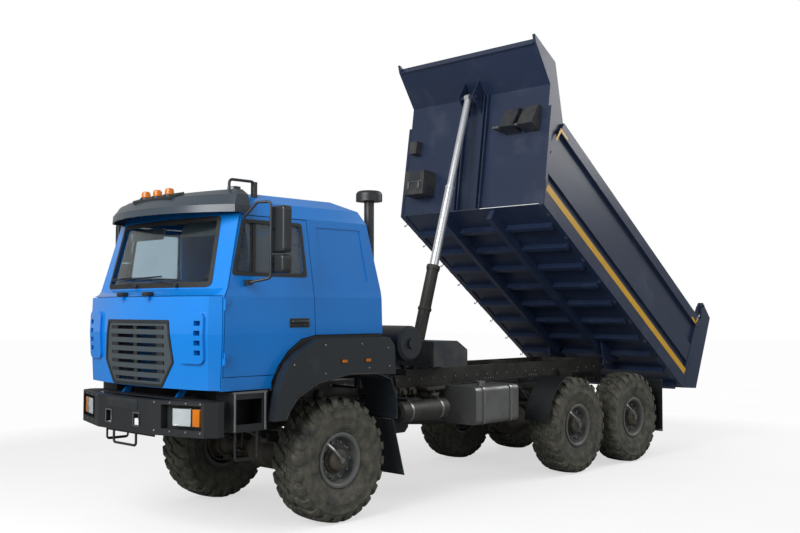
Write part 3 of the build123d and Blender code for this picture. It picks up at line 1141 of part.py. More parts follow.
with BuildPart() as silencer:
    rod((X0 - 2000, -800, 1000), (X0 - 1080, -800, 1000), SILENCER_R)
    chamfer(silencer.edges().filter_by(GeomType.CIRCLE), 30)
    rod((X0 - 2150, -800, 940), (X0 - 1990, -800, 940), 55)
    for x in (X0 - 1750, X0 - 1300):
        slab((x - 25, x + 25), (-800, -RAIL_OUTER - SEAT), (1140, 1200))
save(silencer, "silencer")

FILTER_R = 200
FILTER_X = X0 - 1300
FILTER_Z = 1770
with BuildPart() as air_filter:
    rod((FILTER_X, 380, FILTER_Z), (FILTER_X, 900, FILTER_Z), FILTER_R)
    chamfer(air_filter.edges().filter_by(GeomType.CIRCLE).sort_by(Axis.Y)[-1], 30)
    rod((FILTER_X, 895, FILTER_Z), (FILTER_X, 925, FILTER_Z), 60)
    for y in (400, 415):
        slab((FILTER_X - 120, FILTER_X + 120), (y, y + 20), (RAIL_TOP + SEAT, FILTER_Z - 120))
save(air_filter, "air_filter")

HYDRAULIC_X = (X0 - 2400, X0 - 1790)
HYDRAULIC_Y = (150, 800)
HYDRAULIC_Z = (1480, 1780)
with BuildPart() as hydraulic_tank:
    profile = [(HYDRAULIC_X[0], HYDRAULIC_Z[0]), (HYDRAULIC_X[1], HYDRAULIC_Z[0]),
               (HYDRAULIC_X[1], HYDRAULIC_Z[1]),
               (HYDRAULIC_X[0] + 190, HYDRAULIC_Z[1]), (HYDRAULIC_X[0], HYDRAULIC_Z[1] - 110)]
    extrude(outline(side(HYDRAULIC_Y[1]), profile), amount=HYDRAULIC_Y[1] - HYDRAULIC_Y[0])
    for x in (HYDRAULIC_X[0] + 80, HYDRAULIC_X[1] - 80):
        slab((x - 25, x + 25), (RAIL_INNER + 5, RAIL_OUTER - 5), (SUBFRAME_TOP + SEAT, HYDRAULIC_Z[0] + 5))
save(hydraulic_tank, "hydraulic_tank")

# ---- head lamps, turn lamps, fender markers and rear lamps
# x, y, z of the middle, then size along, across and up
MARKERS = (
    (X0 + 50, FENDER_Y[1] + 6, 1632, 62, 12 - SEAT, 30),
    (X0 - 280, FENDER_Y[1] + 6, 1632, 62, 12 - SEAT, 30),
    (REAR_X - 735 - 17, 560, 1102, 34 - 2 * SEAT, 230, 34),
)
with BuildPart() as lamps:
    for y0, y1, z0, z1 in ((720, 925, 1085, 1245), (940, 1020, 1085, 1245)):
        extrude(outline(level(z0), [(slope_x(y0) - 12, y0), (slope_x(y1) - 12, y1),
                                    (slope_x(y1) - LAMP_BAY_DEPTH + SEAT, y1),
                                    (slope_x(y0) - LAMP_BAY_DEPTH + SEAT, y0)]), amount=z1 - z0)
    for x, y, z, dx, dy, dz in MARKERS:
        slab((x - dx / 2, x + dx / 2), (y - dy / 2, y + dy / 2), (z - dz / 2, z + dz / 2))
    mirror(about=Plane.XZ)
save(lamps, "lamps")
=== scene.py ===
"""Finishes and fine detail of a three-axle dump truck with its load bed raised.

Everything is in metres, in the frame of the truck's solids: +X forward, +Y left, +Z up. Stations along the
truck are given from the front axle, and stations on the load bed from its rear hinge, with the bed lowered.
"""
import json
import math

import bmesh
import bpy
from mathutils import Matrix, Vector


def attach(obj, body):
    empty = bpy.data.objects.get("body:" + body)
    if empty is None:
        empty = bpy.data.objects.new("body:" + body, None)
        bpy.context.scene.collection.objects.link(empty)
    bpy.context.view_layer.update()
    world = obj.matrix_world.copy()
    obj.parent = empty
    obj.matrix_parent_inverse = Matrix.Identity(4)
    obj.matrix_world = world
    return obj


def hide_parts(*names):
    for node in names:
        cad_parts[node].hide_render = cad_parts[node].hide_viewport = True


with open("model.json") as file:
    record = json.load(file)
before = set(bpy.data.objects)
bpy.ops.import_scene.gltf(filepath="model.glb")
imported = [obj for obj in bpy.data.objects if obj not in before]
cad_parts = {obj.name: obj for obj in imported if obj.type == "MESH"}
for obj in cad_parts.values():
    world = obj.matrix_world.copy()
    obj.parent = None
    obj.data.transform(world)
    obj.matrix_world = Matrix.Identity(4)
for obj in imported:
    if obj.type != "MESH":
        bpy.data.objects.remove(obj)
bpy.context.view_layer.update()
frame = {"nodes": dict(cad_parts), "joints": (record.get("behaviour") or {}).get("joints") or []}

# ---------------------------------------------------------------- places worked out from the frame
JOINTS = {joint["name"]: joint for joint in frame["joints"]}
AXLE = Vector(JOINTS["front_wheel_left"]["pos_m"])
HINGE = Vector(JOINTS["bed_tip"]["pos_m"])
HOIST_FOOT = Vector(JOINTS["hoist_swing"]["pos_m"])
HOIST_RUN = Vector(JOINTS["hoist_stage_1_slide"]["axis"]).normalized()
BED_TILT = math.radians(35)
BED_SPIN = Matrix.Rotation(-BED_TILT, 4, "Y")
SIDES = (("left", 1), ("right", -1))
WHEELS = [(row, side, sign) for row in ("front", "mid", "rear") for side, sign in SIDES]
QUARTER = math.pi / 2
SEAT_Y = 0.56          # middle of each seat across
MIRROR_Y = 1.385       # middle of each mirror across
BUMPER_SLANT = 0.278   # turn of the bumper's sloping parts
MARKER_X = (0.050, -0.280)   # side markers on the front fenders
REAR_AXLE_X = (-4.27, -5.68)
RAIL_FACE = 0.4405     # outer face of each frame rail across


def at(x, y, z):
    """A point on the chassis or cab, x from the front axle."""
    return Vector((AXLE.x + x, y, z))


def on_bed(x, y, z):
    """A point of the lowered bed, x from its hinge and z above it, turned up to where the bed stands."""
    return HINGE + BED_SPIN @ Vector((x, y, z))


BED_FRAME = Matrix.Translation(HINGE) @ BED_SPIN
WALL_FOOT = Vector((3.374, 0, 0.244))
WALL_HEAD = Vector((4.090, 0, 1.640))
WALL_UP = (WALL_HEAD - WALL_FOOT).normalized()
WALL_OUT = Vector((WALL_UP.z, 0, -WALL_UP.x))
# columns: across the wall, up it and out of it, from the middle of its foot
WALL_FRAME = BED_FRAME @ Matrix.Translation(WALL_FOOT) @ Matrix((
    (0, WALL_UP.x, WALL_OUT.x, 0), (1, 0, 0, 0), (0, WALL_UP.z, WALL_OUT.z, 0), (0, 0, 0, 1)))


# ---------------------------------------------------------------- materials
def linear(code, alpha=1.0):
    """sRGB hex to linear colour."""
    parts = [int(code[i:i + 2], 16) / 255 for i in (1, 3, 5)]
    return [c / 12.92 if c <= 0.04045 else ((c + 0.055) / 1.055) ** 2.4 for c in parts] + [alpha]


def add_node(tree, kind, inputs=None, **settings):
    """Adds a node, sets it up, and fills or links its inputs, each named or numbered."""
    made = tree.nodes.new(kind)
    for key, value in settings.items():
        setattr(made, key, value)
    for key, value in (inputs or {}).items():
        if isinstance(value, bpy.types.NodeSocket):
            tree.links.new(value, made.inputs[key])
        else:
            made.inputs[key].default_value = value
    return made


def blank_material(name):
    """New material with an empty tree, and its object coordinates."""
    material = bpy.data.materials.new(name)
    material.use_nodes = True
    tree = material.node_tree
    tree.nodes.clear()
    return material, tree, add_node(tree, "ShaderNodeTexCoord").outputs["Object"]


def finish_material(tree, colour, rough, height, depth, constants):
    """Ends a material in one Principled shader; height is a socket for the bump, depth its size in metres."""
    bump = add_node(tree, "ShaderNodeBump", {"Height": height, "Distance": depth, "Strength": 1.0})
    shader = add_node(tree, "ShaderNodeBsdfPrincipled",
                      {"Base Color": colour, "Roughness": rough, "Normal": bump.outputs[0], **constants})
    add_node(tree, "ShaderNodeOutputMaterial", {"Surface": shader.outputs[0]})


def noise(tree, where, size, detail=3.0, roughness=0.55):
    """Noise whose blotches are about size metres across, as a value."""
    return add_node(tree, "ShaderNodeTexNoise", {"Vector": where, "Scale": 1 / size, "Detail": detail,
                                                 "Roughness": roughness}).outputs["Fac"]


def ramp(tree, value, low, high, out_low=0.0, out_high=1.0):
    """A value taken from one range to another."""
    return add_node(tree, "ShaderNodeMapRange", {"Value": value, "From Min": low, "From Max": high,
                                                 "To Min": out_low, "To Max": out_high}).outputs["Result"]


def blend_colours(tree, share, first, second):
    """Mix of two colours; inputs 6 and 7 and output 2 are the node's colour sockets."""
    mix = add_node(tree, "ShaderNodeMix", {"Factor": share, 6: first, 7: second}, data_type="RGBA")
    return mix.outputs[2]


def weathered(name, base, dirt, share, rough, grain, depth, blotch=0.35, **constants):
    """A coat with dirt lying on it in blotches. share is how much of it the dirt covers, rough the roughness
    of the clean and of the dirty coat, grain and depth the size and height of its surface texture."""
    material, tree, where = blank_material(name)
    blotches = noise(tree, where, blotch, 6.0, 0.62)
    cover = ramp(tree, blotches, 0.72 - share, 0.92 - 0.6 * share, 0.0, min(1.0, 0.35 + share))
    tint = blend_colours(tree, ramp(tree, noise(tree, where, blotch * 2.2), 0.3, 0.7), linear(base),
                         [c * 0.86 for c in linear(base)[:3]] + [1])
    colour = blend_colours(tree, cover, tint, linear(dirt))
    roughness = ramp(tree, cover, 0, 1, rough[0], rough[1])
    finish_material(tree, colour, roughness, noise(tree, where, grain), depth, constants)
    return material


# Two-pack acrylic enamel, sprayed: a deep gloss with a faint orange peel of a few millimetres and road film.
CAB_BLUE = weathered("acrylic_enamel_azure", "#067bd4", "#1a74b8", 0.07, (0.22, 0.42), 0.006, 0.00003, 0.6,
                     **{"Coat Weight": 0.5, "Coat Roughness": 0.06})
# Alkyd enamel on thick plate, rolled over mill scale: satin, with long scuffs and mud film.
BED_NAVY = weathered("alkyd_enamel_navy", "#23304a", "#434f61", 0.18, (0.34, 0.6), 0.010, 0.00012, 0.5)
# Chassis enamel under a film of dried mud: low sheen, brown in the corners.
CHASSIS_BLACK = weathered("chassis_enamel_black", "#17191b", "#4a463c", 0.34, (0.45, 0.8), 0.004,
                          0.00015, 0.22)
# Glass-fibre bumper skin and steps in structured black paint.
BUMPER_BLACK = weathered("structured_paint_black", "#14181b", "#2f3232", 0.14, (0.48, 0.7), 0.003,
                         0.00012, 0.4)
# Polyethylene fenders, rotomoulded: charcoal, slightly waxy, paler where dust has dried.
FENDER_PLASTIC = weathered("polyethylene_charcoal", "#20272d", "#44484a", 0.12, (0.40, 0.68), 0.0025,
                           0.00010, 0.3)
# Sun visor in glass-fibre reinforced polyester with a slate gel coat.
VISOR_SLATE = weathered("polyester_gelcoat_slate", "#333c45", "#5b6469", 0.12, (0.28, 0.45), 0.004,
                        0.00005, 0.4)
# Textured ABS of mirrors, handles and grille.
BLACK_ABS = weathered("moulded_abs_black", "#1e2225", "#4b4e4c", 0.12, (0.42, 0.6), 0.0016, 0.00008, 0.2)
# The grille's moulding in a paler grain.
GRILLE_SLATE = weathered("moulded_abs_slate", "#3c454a", "#565b5a", 0.12, (0.4, 0.58), 0.0016, 0.00008, 0.2)
# EPDM rubber of seals, wiper blades, hoses and flaps.
RUBBER = weathered("epdm_rubber", "#121314", "#3a3935", 0.18, (0.6, 0.8), 0.003, 0.0001, 0.15)
# Tyre tread compound, dry and dusty from a gravel yard.
TYRE_RUBBER = weathered("tyre_compound_dusty", "#31322f", "#69675a", 0.38, (0.78, 0.92), 0.006, 0.0004, 0.10)
# Wheel enamel, dark grey, with brake dust.
RIM_GREY = weathered("wheel_enamel_graphite", "#4d5152", "#7b7b72", 0.30, (0.36, 0.7), 0.004, 0.00008, 0.12)
# Worn zinc-rich paint on the rim's flange.
RIM_RING = weathered("wheel_enamel_worn_pale", "#5b5e5d", "#6a675e", 0.3, (0.45, 0.7), 0.004, 0.0001, 0.1)
# Cast hub and axle housings under dried mud.
CAST_IRON = weathered("cast_iron_painted", "#2c2c2a", "#5c5648", 0.42, (0.6, 0.85), 0.006, 0.0003, 0.16)
# Zinc-plated fasteners and bent arms, dulled.
ZINC = weathered("zinc_plated_steel", "#8a8c8c", "#6d6a60", 0.3, (0.35, 0.6), 0.003, 0.00005, 0.05,
                 Metallic=0.85)
# Hard-chromed hoist stages with a film of oil.
CHROME = weathered("hard_chrome", "#dfe2e6", "#b3b7bb", 0.12, (0.30, 0.42), 0.02, 0.00001, 0.3, Metallic=0.75)
# Grey alkyd enamel on the engine block.
ENGINE_GREY = weathered("engine_enamel_grey", "#3d3f3e", "#55503f", 0.4, (0.5, 0.8), 0.006, 0.0002, 0.2)
# Brushed aluminium tanks and silencer shell.
TANK_ALLOY = weathered("aluminium_sheet", "#7d7f80", "#55524a", 0.35, (0.38, 0.65), 0.002, 0.00004, 0.25,
                       Metallic=0.7)
# Satin dark enamel of the hydraulic tank and its fittings.
TANK_DARK = weathered("tank_enamel_dark", "#2a3038", "#56534a", 0.3, (0.4, 0.65), 0.005, 0.0001, 0.25)
# Reflective yellow tape with its beads, and the paint in the same yellow.
YELLOW_TAPE = weathered("reflective_tape_yellow", "#d6a520", "#8a7434", 0.14, (0.35, 0.55), 0.0012,
                        0.00005, 0.15)
# Cab lining of grey moulded fibre felt, and woven seat cloth.
LINING = weathered("fibre_felt_grey", "#6f7274", "#5a5a58", 0.1, (0.85, 0.9), 0.002, 0.0003, 0.3)
DASH_PLASTIC = weathered("moulded_abs_grey", "#3b3f43", "#4f5150", 0.1, (0.5, 0.6), 0.0016, 0.00008, 0.3)


def seat_cloth():
    """Woven polyester seat cover: threads about 2 mm apart, drawn at 5 mm so that they show."""
    material, tree, where = blank_material("woven_polyester_dark")
    thread = 0.005
    weave = [add_node(tree, "ShaderNodeTexWave", {"Vector": where, "Scale": 1 / (thread * math.tau / 2),
                                                  "Distortion": 0.4}, bands_direction=axis).outputs["Fac"]
             for axis in ("Y", "Z")]
    both = add_node(tree, "ShaderNodeMath", {0: weave[0], 1: weave[1]}, operation="MULTIPLY").outputs[0]
    colour = blend_colours(tree, both, linear("#23262c"), linear("#3b4048"))
    finish_material(tree, colour, ramp(tree, both, 0, 1, 0.95, 0.8), both, 0.0006,
                    {"Sheen Weight": 0.25, "Sheen Roughness": 0.5})
    return material


def clear_sheet(name, tint, rough=0.02, **constants):
    """Window or lens: clear to look through, with faint smears on its surface."""
    material, tree, where = blank_material(name)
    smear = ramp(tree, noise(tree, where, 0.12, 5.0), 0.35, 0.8, rough, rough + 0.06)
    colour = blend_colours(tree, ramp(tree, noise(tree, where, 0.5), 0.3, 0.7), linear(tint),
                           [c * 0.92 for c in linear(tint)[:3]] + [1])
    finish_material(tree, colour, smear, noise(tree, where, 0.4), 0.00002, constants)
    return material


# Laminated windshield, clear with a green-grey tint; toughened side glass with a blue one.
SHIELD_GLASS = clear_sheet("laminated_glass_clear", "#dbe7e8", **{"Transmission Weight": 1.0, "IOR": 1.30})
SIDE_GLASS = clear_sheet("toughened_glass_tinted", "#b9cbd9", **{"Transmission Weight": 0.92, "IOR": 1.45})
MIRROR_GLASS = clear_sheet("silvered_mirror_glass", "#c4ccd2", **{"Metallic": 1.0})
# Polycarbonate lamp lenses: clear over the reflectors, amber over turn lamps and beacons, and red.
CLEAR_LENS = clear_sheet("polycarbonate_clear", "#dfe6e8", 0.08, **{"Transmission Weight": 0.6, "IOR": 1.5})
AMBER_LENS = clear_sheet("polycarbonate_amber", "#d9780e", 0.12, **{"Transmission Weight": 0.25, "IOR": 1.5})
RED_LENS = clear_sheet("polycarbonate_red", "#9c1512", 0.12, **{"Transmission Weight": 0.2, "IOR": 1.5})
REFLECTOR = clear_sheet("aluminised_reflector", "#e3e6e8", 0.1, **{"Metallic": 1.0})
SEAT_CLOTH = seat_cloth()

NODE_FINISHES = (
    (CAB_BLUE, "cab_shell door_left door_right front_hatch"),
    (BED_NAVY, "bed_floor bed_sides bed_front_wall tailgate"),
    (TANK_DARK, "bed_fittings hydraulic_tank"),
    (CHASSIS_BLACK, "frame_rails tipper_subframe driveline leaf_springs air_tanks"),
    (CAST_IRON, "front_axle rear_axles knuckle_left knuckle_right tie_rod"),
    (ENGINE_GREY, "engine"),
    (BUMPER_BLACK, "bumper step_boxes rear_fenders"),
    (FENDER_PLASTIC, "front_fenders air_filter"),
    (VISOR_SLATE, "sun_visor"),
    (GRILLE_SLATE, "grille"),
    (BLACK_ABS, "mirror_left mirror_right steering_wheel snorkel roof_rail"),
    (DASH_PLASTIC, "dashboard"),
    (SIDE_GLASS, "door_glass_left door_glass_right"),
    (SHIELD_GLASS, "windshield"),
    (AMBER_LENS, "roof_lamps lamps"),
    (TANK_ALLOY, "fuel_tanks silencer"),
    (CHASSIS_BLACK, "cylinder_tube"),
    (CHROME, "cylinder_stage_1 cylinder_stage_2"),
    (RIM_GREY, " ".join(f"rim_{row}_{side}" for row, side, _ in WHEELS)),
)
for finish, names in NODE_FINISHES:
    for name in names.split():
        materials = frame["nodes"][name].data.materials
        materials.clear()
        materials.append(finish)


# ---------------------------------------------------------------- mesh helpers
def turned(spot, angle, axis):
    """Place at a spot, turned by an angle about an axis."""
    return Matrix.Translation(spot) @ Matrix.Rotation(angle, 4, axis)


def side_box(shape, sign, xs, ys, zs):
    """Block on one side of the truck: ranges along it, outwards from its middle, and up."""
    low, high = sorted((sign * ys[0], sign * ys[1]))
    box(shape, at(xs[0], low, zs[0]), at(xs[1], high, zs[1]))


def box(shape, low, high, place=Matrix()):
    """Rectangular block between two corners, put in place by a matrix."""
    made = bmesh.ops.create_cube(shape, size=1)["verts"]
    low, high = Vector(low), Vector(high)
    bmesh.ops.transform(shape, verts=made, matrix=place @ Matrix.Translation((low + high) / 2)
                        @ Matrix.Diagonal([*(high - low), 1]))


def prism(shape, points, run):
    """Solid with the given flat outline, carried along a vector."""
    first = [shape.verts.new(p) for p in points]
    second = [shape.verts.new(Vector(p) + Vector(run)) for p in points]
    shape.faces.new(first)
    shape.faces.new(second)
    for i in range(len(points)):
        j = (i + 1) % len(points)
        shape.faces.new((first[i], first[j], second[j], second[i]))


def lathe(shape, profile, place, steps=32, closed=False):
    """Turned solid: profile is radius and distance along the Z axis, then put in place by a matrix."""
    rings = []
    for radius, height in profile:
        ring = [shape.verts.new(place @ Vector((radius * math.cos(a), radius * math.sin(a), height)))
                for a in (math.tau * i / steps for i in range(steps))] if radius > 1e-6 else \
            [shape.verts.new(place @ Vector((0, 0, height)))]
        rings.append(ring)
    pairs = list(zip(rings, rings[1:])) + ([(rings[-1], rings[0])] if closed else [])
    for a, b in pairs:
        for i in range(steps):
            j = (i + 1) % steps
            if len(a) == 1:
                shape.faces.new((a[0], b[j], b[i]))
            elif len(b) == 1:
                shape.faces.new((a[i], a[j], b[0]))
            else:
                shape.faces.new((a[i], a[j], b[j], b[i]))


def rounded(points, radius, closed=False, steps=5):
    """Path with each corner turned into an arc of the given radius."""
    points = [Vector(p) for p in points]
    count = len(points)
    path = [] if closed else [points[0]]
    for i in range(count if closed else count - 2):
        before, corner, after = points[i], points[(i + 1) % count], points[(i + 2) % count]
        a, b = (before - corner).normalized(), (after - corner).normalized()
        half = a.angle(b) / 2
        reach = min(radius / math.tan(half), (before - corner).length * 0.49, (after - corner).length * 0.49)
        for k in range(steps + 1):
            t = k / steps
            # quadratic arc between the two points where the round starts and ends
            start, end = corner + a * reach, corner + b * reach
            path.append((1 - t) ** 2 * start + 2 * t * (1 - t) * corner + t ** 2 * end)
    return path if closed else path + [points[-1]]


def tube(shape, path, radius, sides=10, closed=False, flat=1.0):
    """Round bar along a path; flat squeezes its section."""
    rings = []
    count = len(path)
    side = None
    for i, point in enumerate(path):
        before = path[i - 1] if (i or closed) else point
        after = path[(i + 1) % count] if (closed or i < count - 1) else point
        run = (after - before).normalized()
        if side is None:
            side = run.orthogonal().normalized()
        side = (side - run * side.dot(run)).normalized()
        up = run.cross(side)
        rings.append([shape.verts.new(point + radius * (math.cos(a) * side + flat * math.sin(a) * up))
                      for a in (math.tau * k / sides for k in range(sides))])
    for i in range(count if closed else count - 1):
        a, b = rings[i], rings[(i + 1) % count]
        for k in range(sides):
            shape.faces.new((a[k], a[(k + 1) % sides], b[(k + 1) % sides], b[k]))
    if not closed:
        shape.faces.new(rings[0])
        shape.faces.new(rings[-1])


def loop_band(shape, outer, inner, lift):
    """Flat ring between two closed paths of as many points, raised by a vector for each point."""
    rows = [[shape.verts.new(p) for p in outer], [shape.verts.new(p + q) for p, q in zip(outer, lift)],
            [shape.verts.new(p + q) for p, q in zip(inner, lift)], [shape.verts.new(p) for p in inner]]
    count = len(outer)
    for a, b in zip(rows, rows[1:] + rows[:1]):
        for i in range(count):
            j = (i + 1) % count
            shape.faces.new((a[i], a[j], b[j], b[i]))


def piece(name, shape, material, body, bevel=0.0, sharp=32):
    """Turns a shape into a finished piece that rides on a body."""
    bmesh.ops.remove_doubles(shape, verts=shape.verts, dist=1e-5)
    bmesh.ops.recalc_face_normals(shape, faces=shape.faces)
    mesh = bpy.data.meshes.new(name)
    shape.to_mesh(mesh)
    shape.free()
    mesh.materials.append(material)
    obj = bpy.data.objects.new(name, mesh)
    bpy.context.scene.collection.objects.link(obj)
    if bevel:
        cut = obj.modifiers.new("edges", "BEVEL")
        cut.width = bevel
        cut.segments = 2
        cut.limit_method = "ANGLE"
        cut.angle_limit = math.radians(40)
        bake(obj)
    mesh = obj.data
    mesh.shade_smooth()
    mesh.set_sharp_from_angle(angle=math.radians(sharp))
    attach(obj, body)
    return obj


def bake(obj):
    """Makes an object's modifiers its own mesh."""
    graph = bpy.context.evaluated_depsgraph_get()
    graph.update()
    made = bpy.data.meshes.new_from_object(obj.evaluated_get(graph), depsgraph=graph)
    obj.modifiers.clear()
    obj.data = made


def build_repeat_tree():
    """Geometry Nodes tree that repeats a mesh, each copy turned and moved further than the last."""
    tree = bpy.data.node_groups.new("repeat", "GeometryNodeTree")
    tree.interface.new_socket("Geometry", in_out="OUTPUT", socket_type="NodeSocketGeometry")
    for label, kind in (("Geometry", "NodeSocketGeometry"), ("Count", "NodeSocketInt"),
                        ("Turn", "NodeSocketVector"), ("Shift", "NodeSocketVector"),
                        ("Material", "NodeSocketMaterial")):
        tree.interface.new_socket(label, in_out="INPUT", socket_type=kind)
    given = add_node(tree, "NodeGroupInput").outputs
    index = add_node(tree, "GeometryNodeInputIndex").outputs[0]
    turn = add_node(tree, "ShaderNodeVectorMath", {0: given["Turn"], "Scale": index},
                    operation="SCALE").outputs[0]
    move = add_node(tree, "ShaderNodeVectorMath", {0: given["Shift"], "Scale": index},
                    operation="SCALE").outputs[0]
    points = add_node(tree, "GeometryNodePoints", {"Count": given["Count"], "Position": move}).outputs[0]
    copies = add_node(tree, "GeometryNodeInstanceOnPoints",
                      {"Points": points, "Instance": given["Geometry"], "Rotation": turn}).outputs[0]
    real = add_node(tree, "GeometryNodeRealizeInstances", {"Geometry": copies}).outputs[0]
    coated = add_node(tree, "GeometryNodeSetMaterial",
                      {"Geometry": real, "Material": given["Material"]}).outputs[0]
    add_node(tree, "NodeGroupOutput", {"Geometry": coated})
    return tree, {item.name: item.identifier for item in tree.interface.items_tree if item.in_out == "INPUT"}


REPEAT, REPEAT_INPUTS = build_repeat_tree()


def repeated(unit, count, material, turn=(0, 0, 0), shift=(0, 0, 0)):
    """Mesh of a small shape repeated by the tree."""
    mesh = bpy.data.meshes.new("unit")
    unit.to_mesh(mesh)
    unit.free()
    obj = bpy.data.objects.new("unit", mesh)
    bpy.context.scene.collection.objects.link(obj)
    modifier = obj.modifiers.new("repeat", "NODES")
    modifier.node_group = REPEAT
    for label, value in (("Count", count), ("Turn", turn), ("Shift", shift), ("Material", material)):
        modifier[REPEAT_INPUTS[label]] = value
    bake(obj)
    mesh = obj.data
    bpy.data.objects.remove(obj)
    return mesh


def put(shape, mesh, place=Matrix()):
    """Adds a mesh to a shape, moved by a matrix."""
    start = len(shape.verts)
    shape.from_mesh(mesh)
    shape.verts.ensure_lookup_table()
    bmesh.ops.transform(shape, verts=shape.verts[start:], matrix=place)


def bolt_head(radius, height):
    """Hexagon head on its washer, standing on the plane Z = 0."""
    unit = bmesh.new()
    lathe(unit, [(0, -0.001), (radius * 1.35, -0.001), (radius * 1.35, height * 0.25), (0, height * 0.25)],
          Matrix(), 10)
    lathe(unit, [(0, 0), (radius, 0), (radius, height * 0.9), (radius * 0.85, height), (0, height)],
          Matrix(), 6)
    return unit


def bolt_row(shape, start, step, count, face, radius=0.011, height=0.010):
    """Row of bolt heads from a point, standing along the face's normal."""
    turn = face.normalized().to_track_quat("Z", "Y")
    mesh = repeated(bolt_head(radius, height), count, ZINC, shift=turn.inverted() @ Vector(step))
    put(shape, mesh, Matrix.Translation(start) @ turn.to_matrix().to_4x4())


# ---------------------------------------------------------------- wheels
def wheel_place(row, side, sign):
    """Wheel's own axes: Y outwards along the spindle."""
    spot = Vector(JOINTS[f"{row}_wheel_{side}"]["pos_m"])
    return turned(spot, 0 if sign > 0 else math.pi, "Z")


def lug(unit, section, slant, width):
    """Tread bar whose outline across the tyre is given as distance across and radius."""
    faces = []
    for end in (-1, 1):
        points = []
        for y, r, ease in section:
            angle = slant * y + end * (width / 2 - ease) / r
            points.append(unit.verts.new((r * math.sin(angle), y, r * math.cos(angle))))
        faces.append(points)
        unit.faces.new(points)
    for i in range(len(section)):
        j = (i + 1) % len(section)
        unit.faces.new((faces[0][i], faces[0][j], faces[1][j], faces[1][i]))


PITCHES = 24
LUG_SLANT = 0.9        # radians round the tyre for each metre across it
LUG_EASE = 0.003       # how far a lug draws in towards its top
SHOULDER_BAR = [(0.120, 0.596, 0), (0.120, 0.624, LUG_EASE), (0.158, 0.620, LUG_EASE),
                (0.180, 0.606, LUG_EASE), (0.194, 0.582, LUG_EASE), (0.1985, 0.545, 0.006),
                (0.188, 0.545, 0), (0.170, 0.590, 0)]
# each block's foot and top, as distance across and radius, from its inner to its outer side, and its width
LUG_BLOCKS = (((0.070, 0.600), (0.070, 0.627), (0.113, 0.625), (0.113, 0.598), 0.078),
              ((0.024, 0.600), (0.024, 0.6295), (0.063, 0.628), (0.063, 0.600), 0.074),
              ((-0.018, 0.602), (-0.018, 0.6295), (0.017, 0.6295), (0.017, 0.602), 0.062))


def tread_pitch():
    """One pitch of the tread: a shoulder bar and three blocks in from it, on both halves."""
    unit = bmesh.new()
    half_pitch = math.pi / PITCHES
    for half in (1, -1):
        start = len(unit.verts)
        lug(unit, SHOULDER_BAR, LUG_SLANT, 0.082)
        for foot_in, top_in, top_out, foot_out, width in LUG_BLOCKS:
            lug(unit, [(*foot_in, 0), (*top_in, LUG_EASE), (*top_out, LUG_EASE), (*foot_out, 0)],
                LUG_SLANT, width)
        unit.verts.ensure_lookup_table()
        if half < 0:
            bmesh.ops.transform(unit, verts=unit.verts[start:],
                                matrix=Matrix.Rotation(half_pitch, 4, "Y") @ Matrix.Rotation(math.pi, 4, "X"))
    return unit


# half of the carcass's section: radius and distance across, from the bead to the crown
CARCASS = [(0.2545, 0.140), (0.256, 0.149), (0.276, 0.152), (0.292, 0.154), (0.300, 0.160), (0.318, 0.164),
           (0.323, 0.170), (0.340, 0.174), (0.385, 0.187), (0.430, 0.194), (0.436, 0.1965), (0.446, 0.1965),
           (0.452, 0.1945), (0.490, 0.196), (0.520, 0.194), (0.526, 0.1965), (0.534, 0.1965), (0.540, 0.192),
           (0.572, 0.178), (0.592, 0.150), (0.601, 0.100), (0.604, 0.045)]


def build_tyre():
    """Carcass with its sidewall rings, and the tread repeated round it."""
    shape = bmesh.new()
    profile = CARCASS + [(r, -y) for r, y in reversed(CARCASS)]
    lathe(shape, profile, Matrix.Rotation(-QUARTER, 4, "X"), 96, closed=True)
    put(shape, repeated(tread_pitch(), PITCHES, TYRE_RUBBER, turn=(0, math.tau / PITCHES, 0)))
    bmesh.ops.recalc_face_normals(shape, faces=shape.faces)
    mesh = bpy.data.meshes.new("tyre")
    shape.to_mesh(mesh)
    shape.free()
    return mesh


def wheel_trim():
    """Nuts and their caps, the planet hub's dome with its bolts, and the step of the rim's flange."""
    outward = Matrix.Rotation(-QUARTER, 4, "X")
    nuts = bmesh.new()
    cap = bmesh.new()
    lathe(cap, [(0, -0.001), (0.021, -0.001), (0.021, 0.008), (0.0155, 0.010), (0.0155, 0.034),
                (0.012, 0.039), (0, 0.040)], Matrix.Translation((0.182, 0, 0.0655)), 12)
    put(nuts, repeated(cap, 10, ZINC, turn=(0, 0, math.tau / 10)), outward)
    dome = bmesh.new()
    lathe(dome, [(0, 0.095), (0.142, 0.068), (0.142, 0.082), (0.134, 0.090), (0.120, 0.092), (0.114, 0.104),
                 (0.112, 0.130), (0.104, 0.150), (0.088, 0.163), (0.060, 0.171), (0.032, 0.173),
                 (0.030, 0.180), (0, 0.181)], outward, 40)
    ring_bolts = bmesh.new()
    lathe(ring_bolts, [(0, 0), (0.008, 0), (0.008, 0.007), (0, 0.007)],
          Matrix.Translation((0.128, 0, 0.089)), 6)
    put(dome, repeated(ring_bolts, 12, ZINC, turn=(0, 0, math.tau / 12)), outward)
    flange = bmesh.new()
    lathe(flange, [(0.2375, 0.124), (0.2432, 0.150), (0.2432, 0.1585), (0.262, 0.1592), (0.2735, 0.1585),
                   (0.277, 0.164), (0.270, 0.1675), (0.250, 0.1655), (0.238, 0.156), (0.231, 0.126)],
          outward, 72, closed=True)
    return nuts, dome, flange


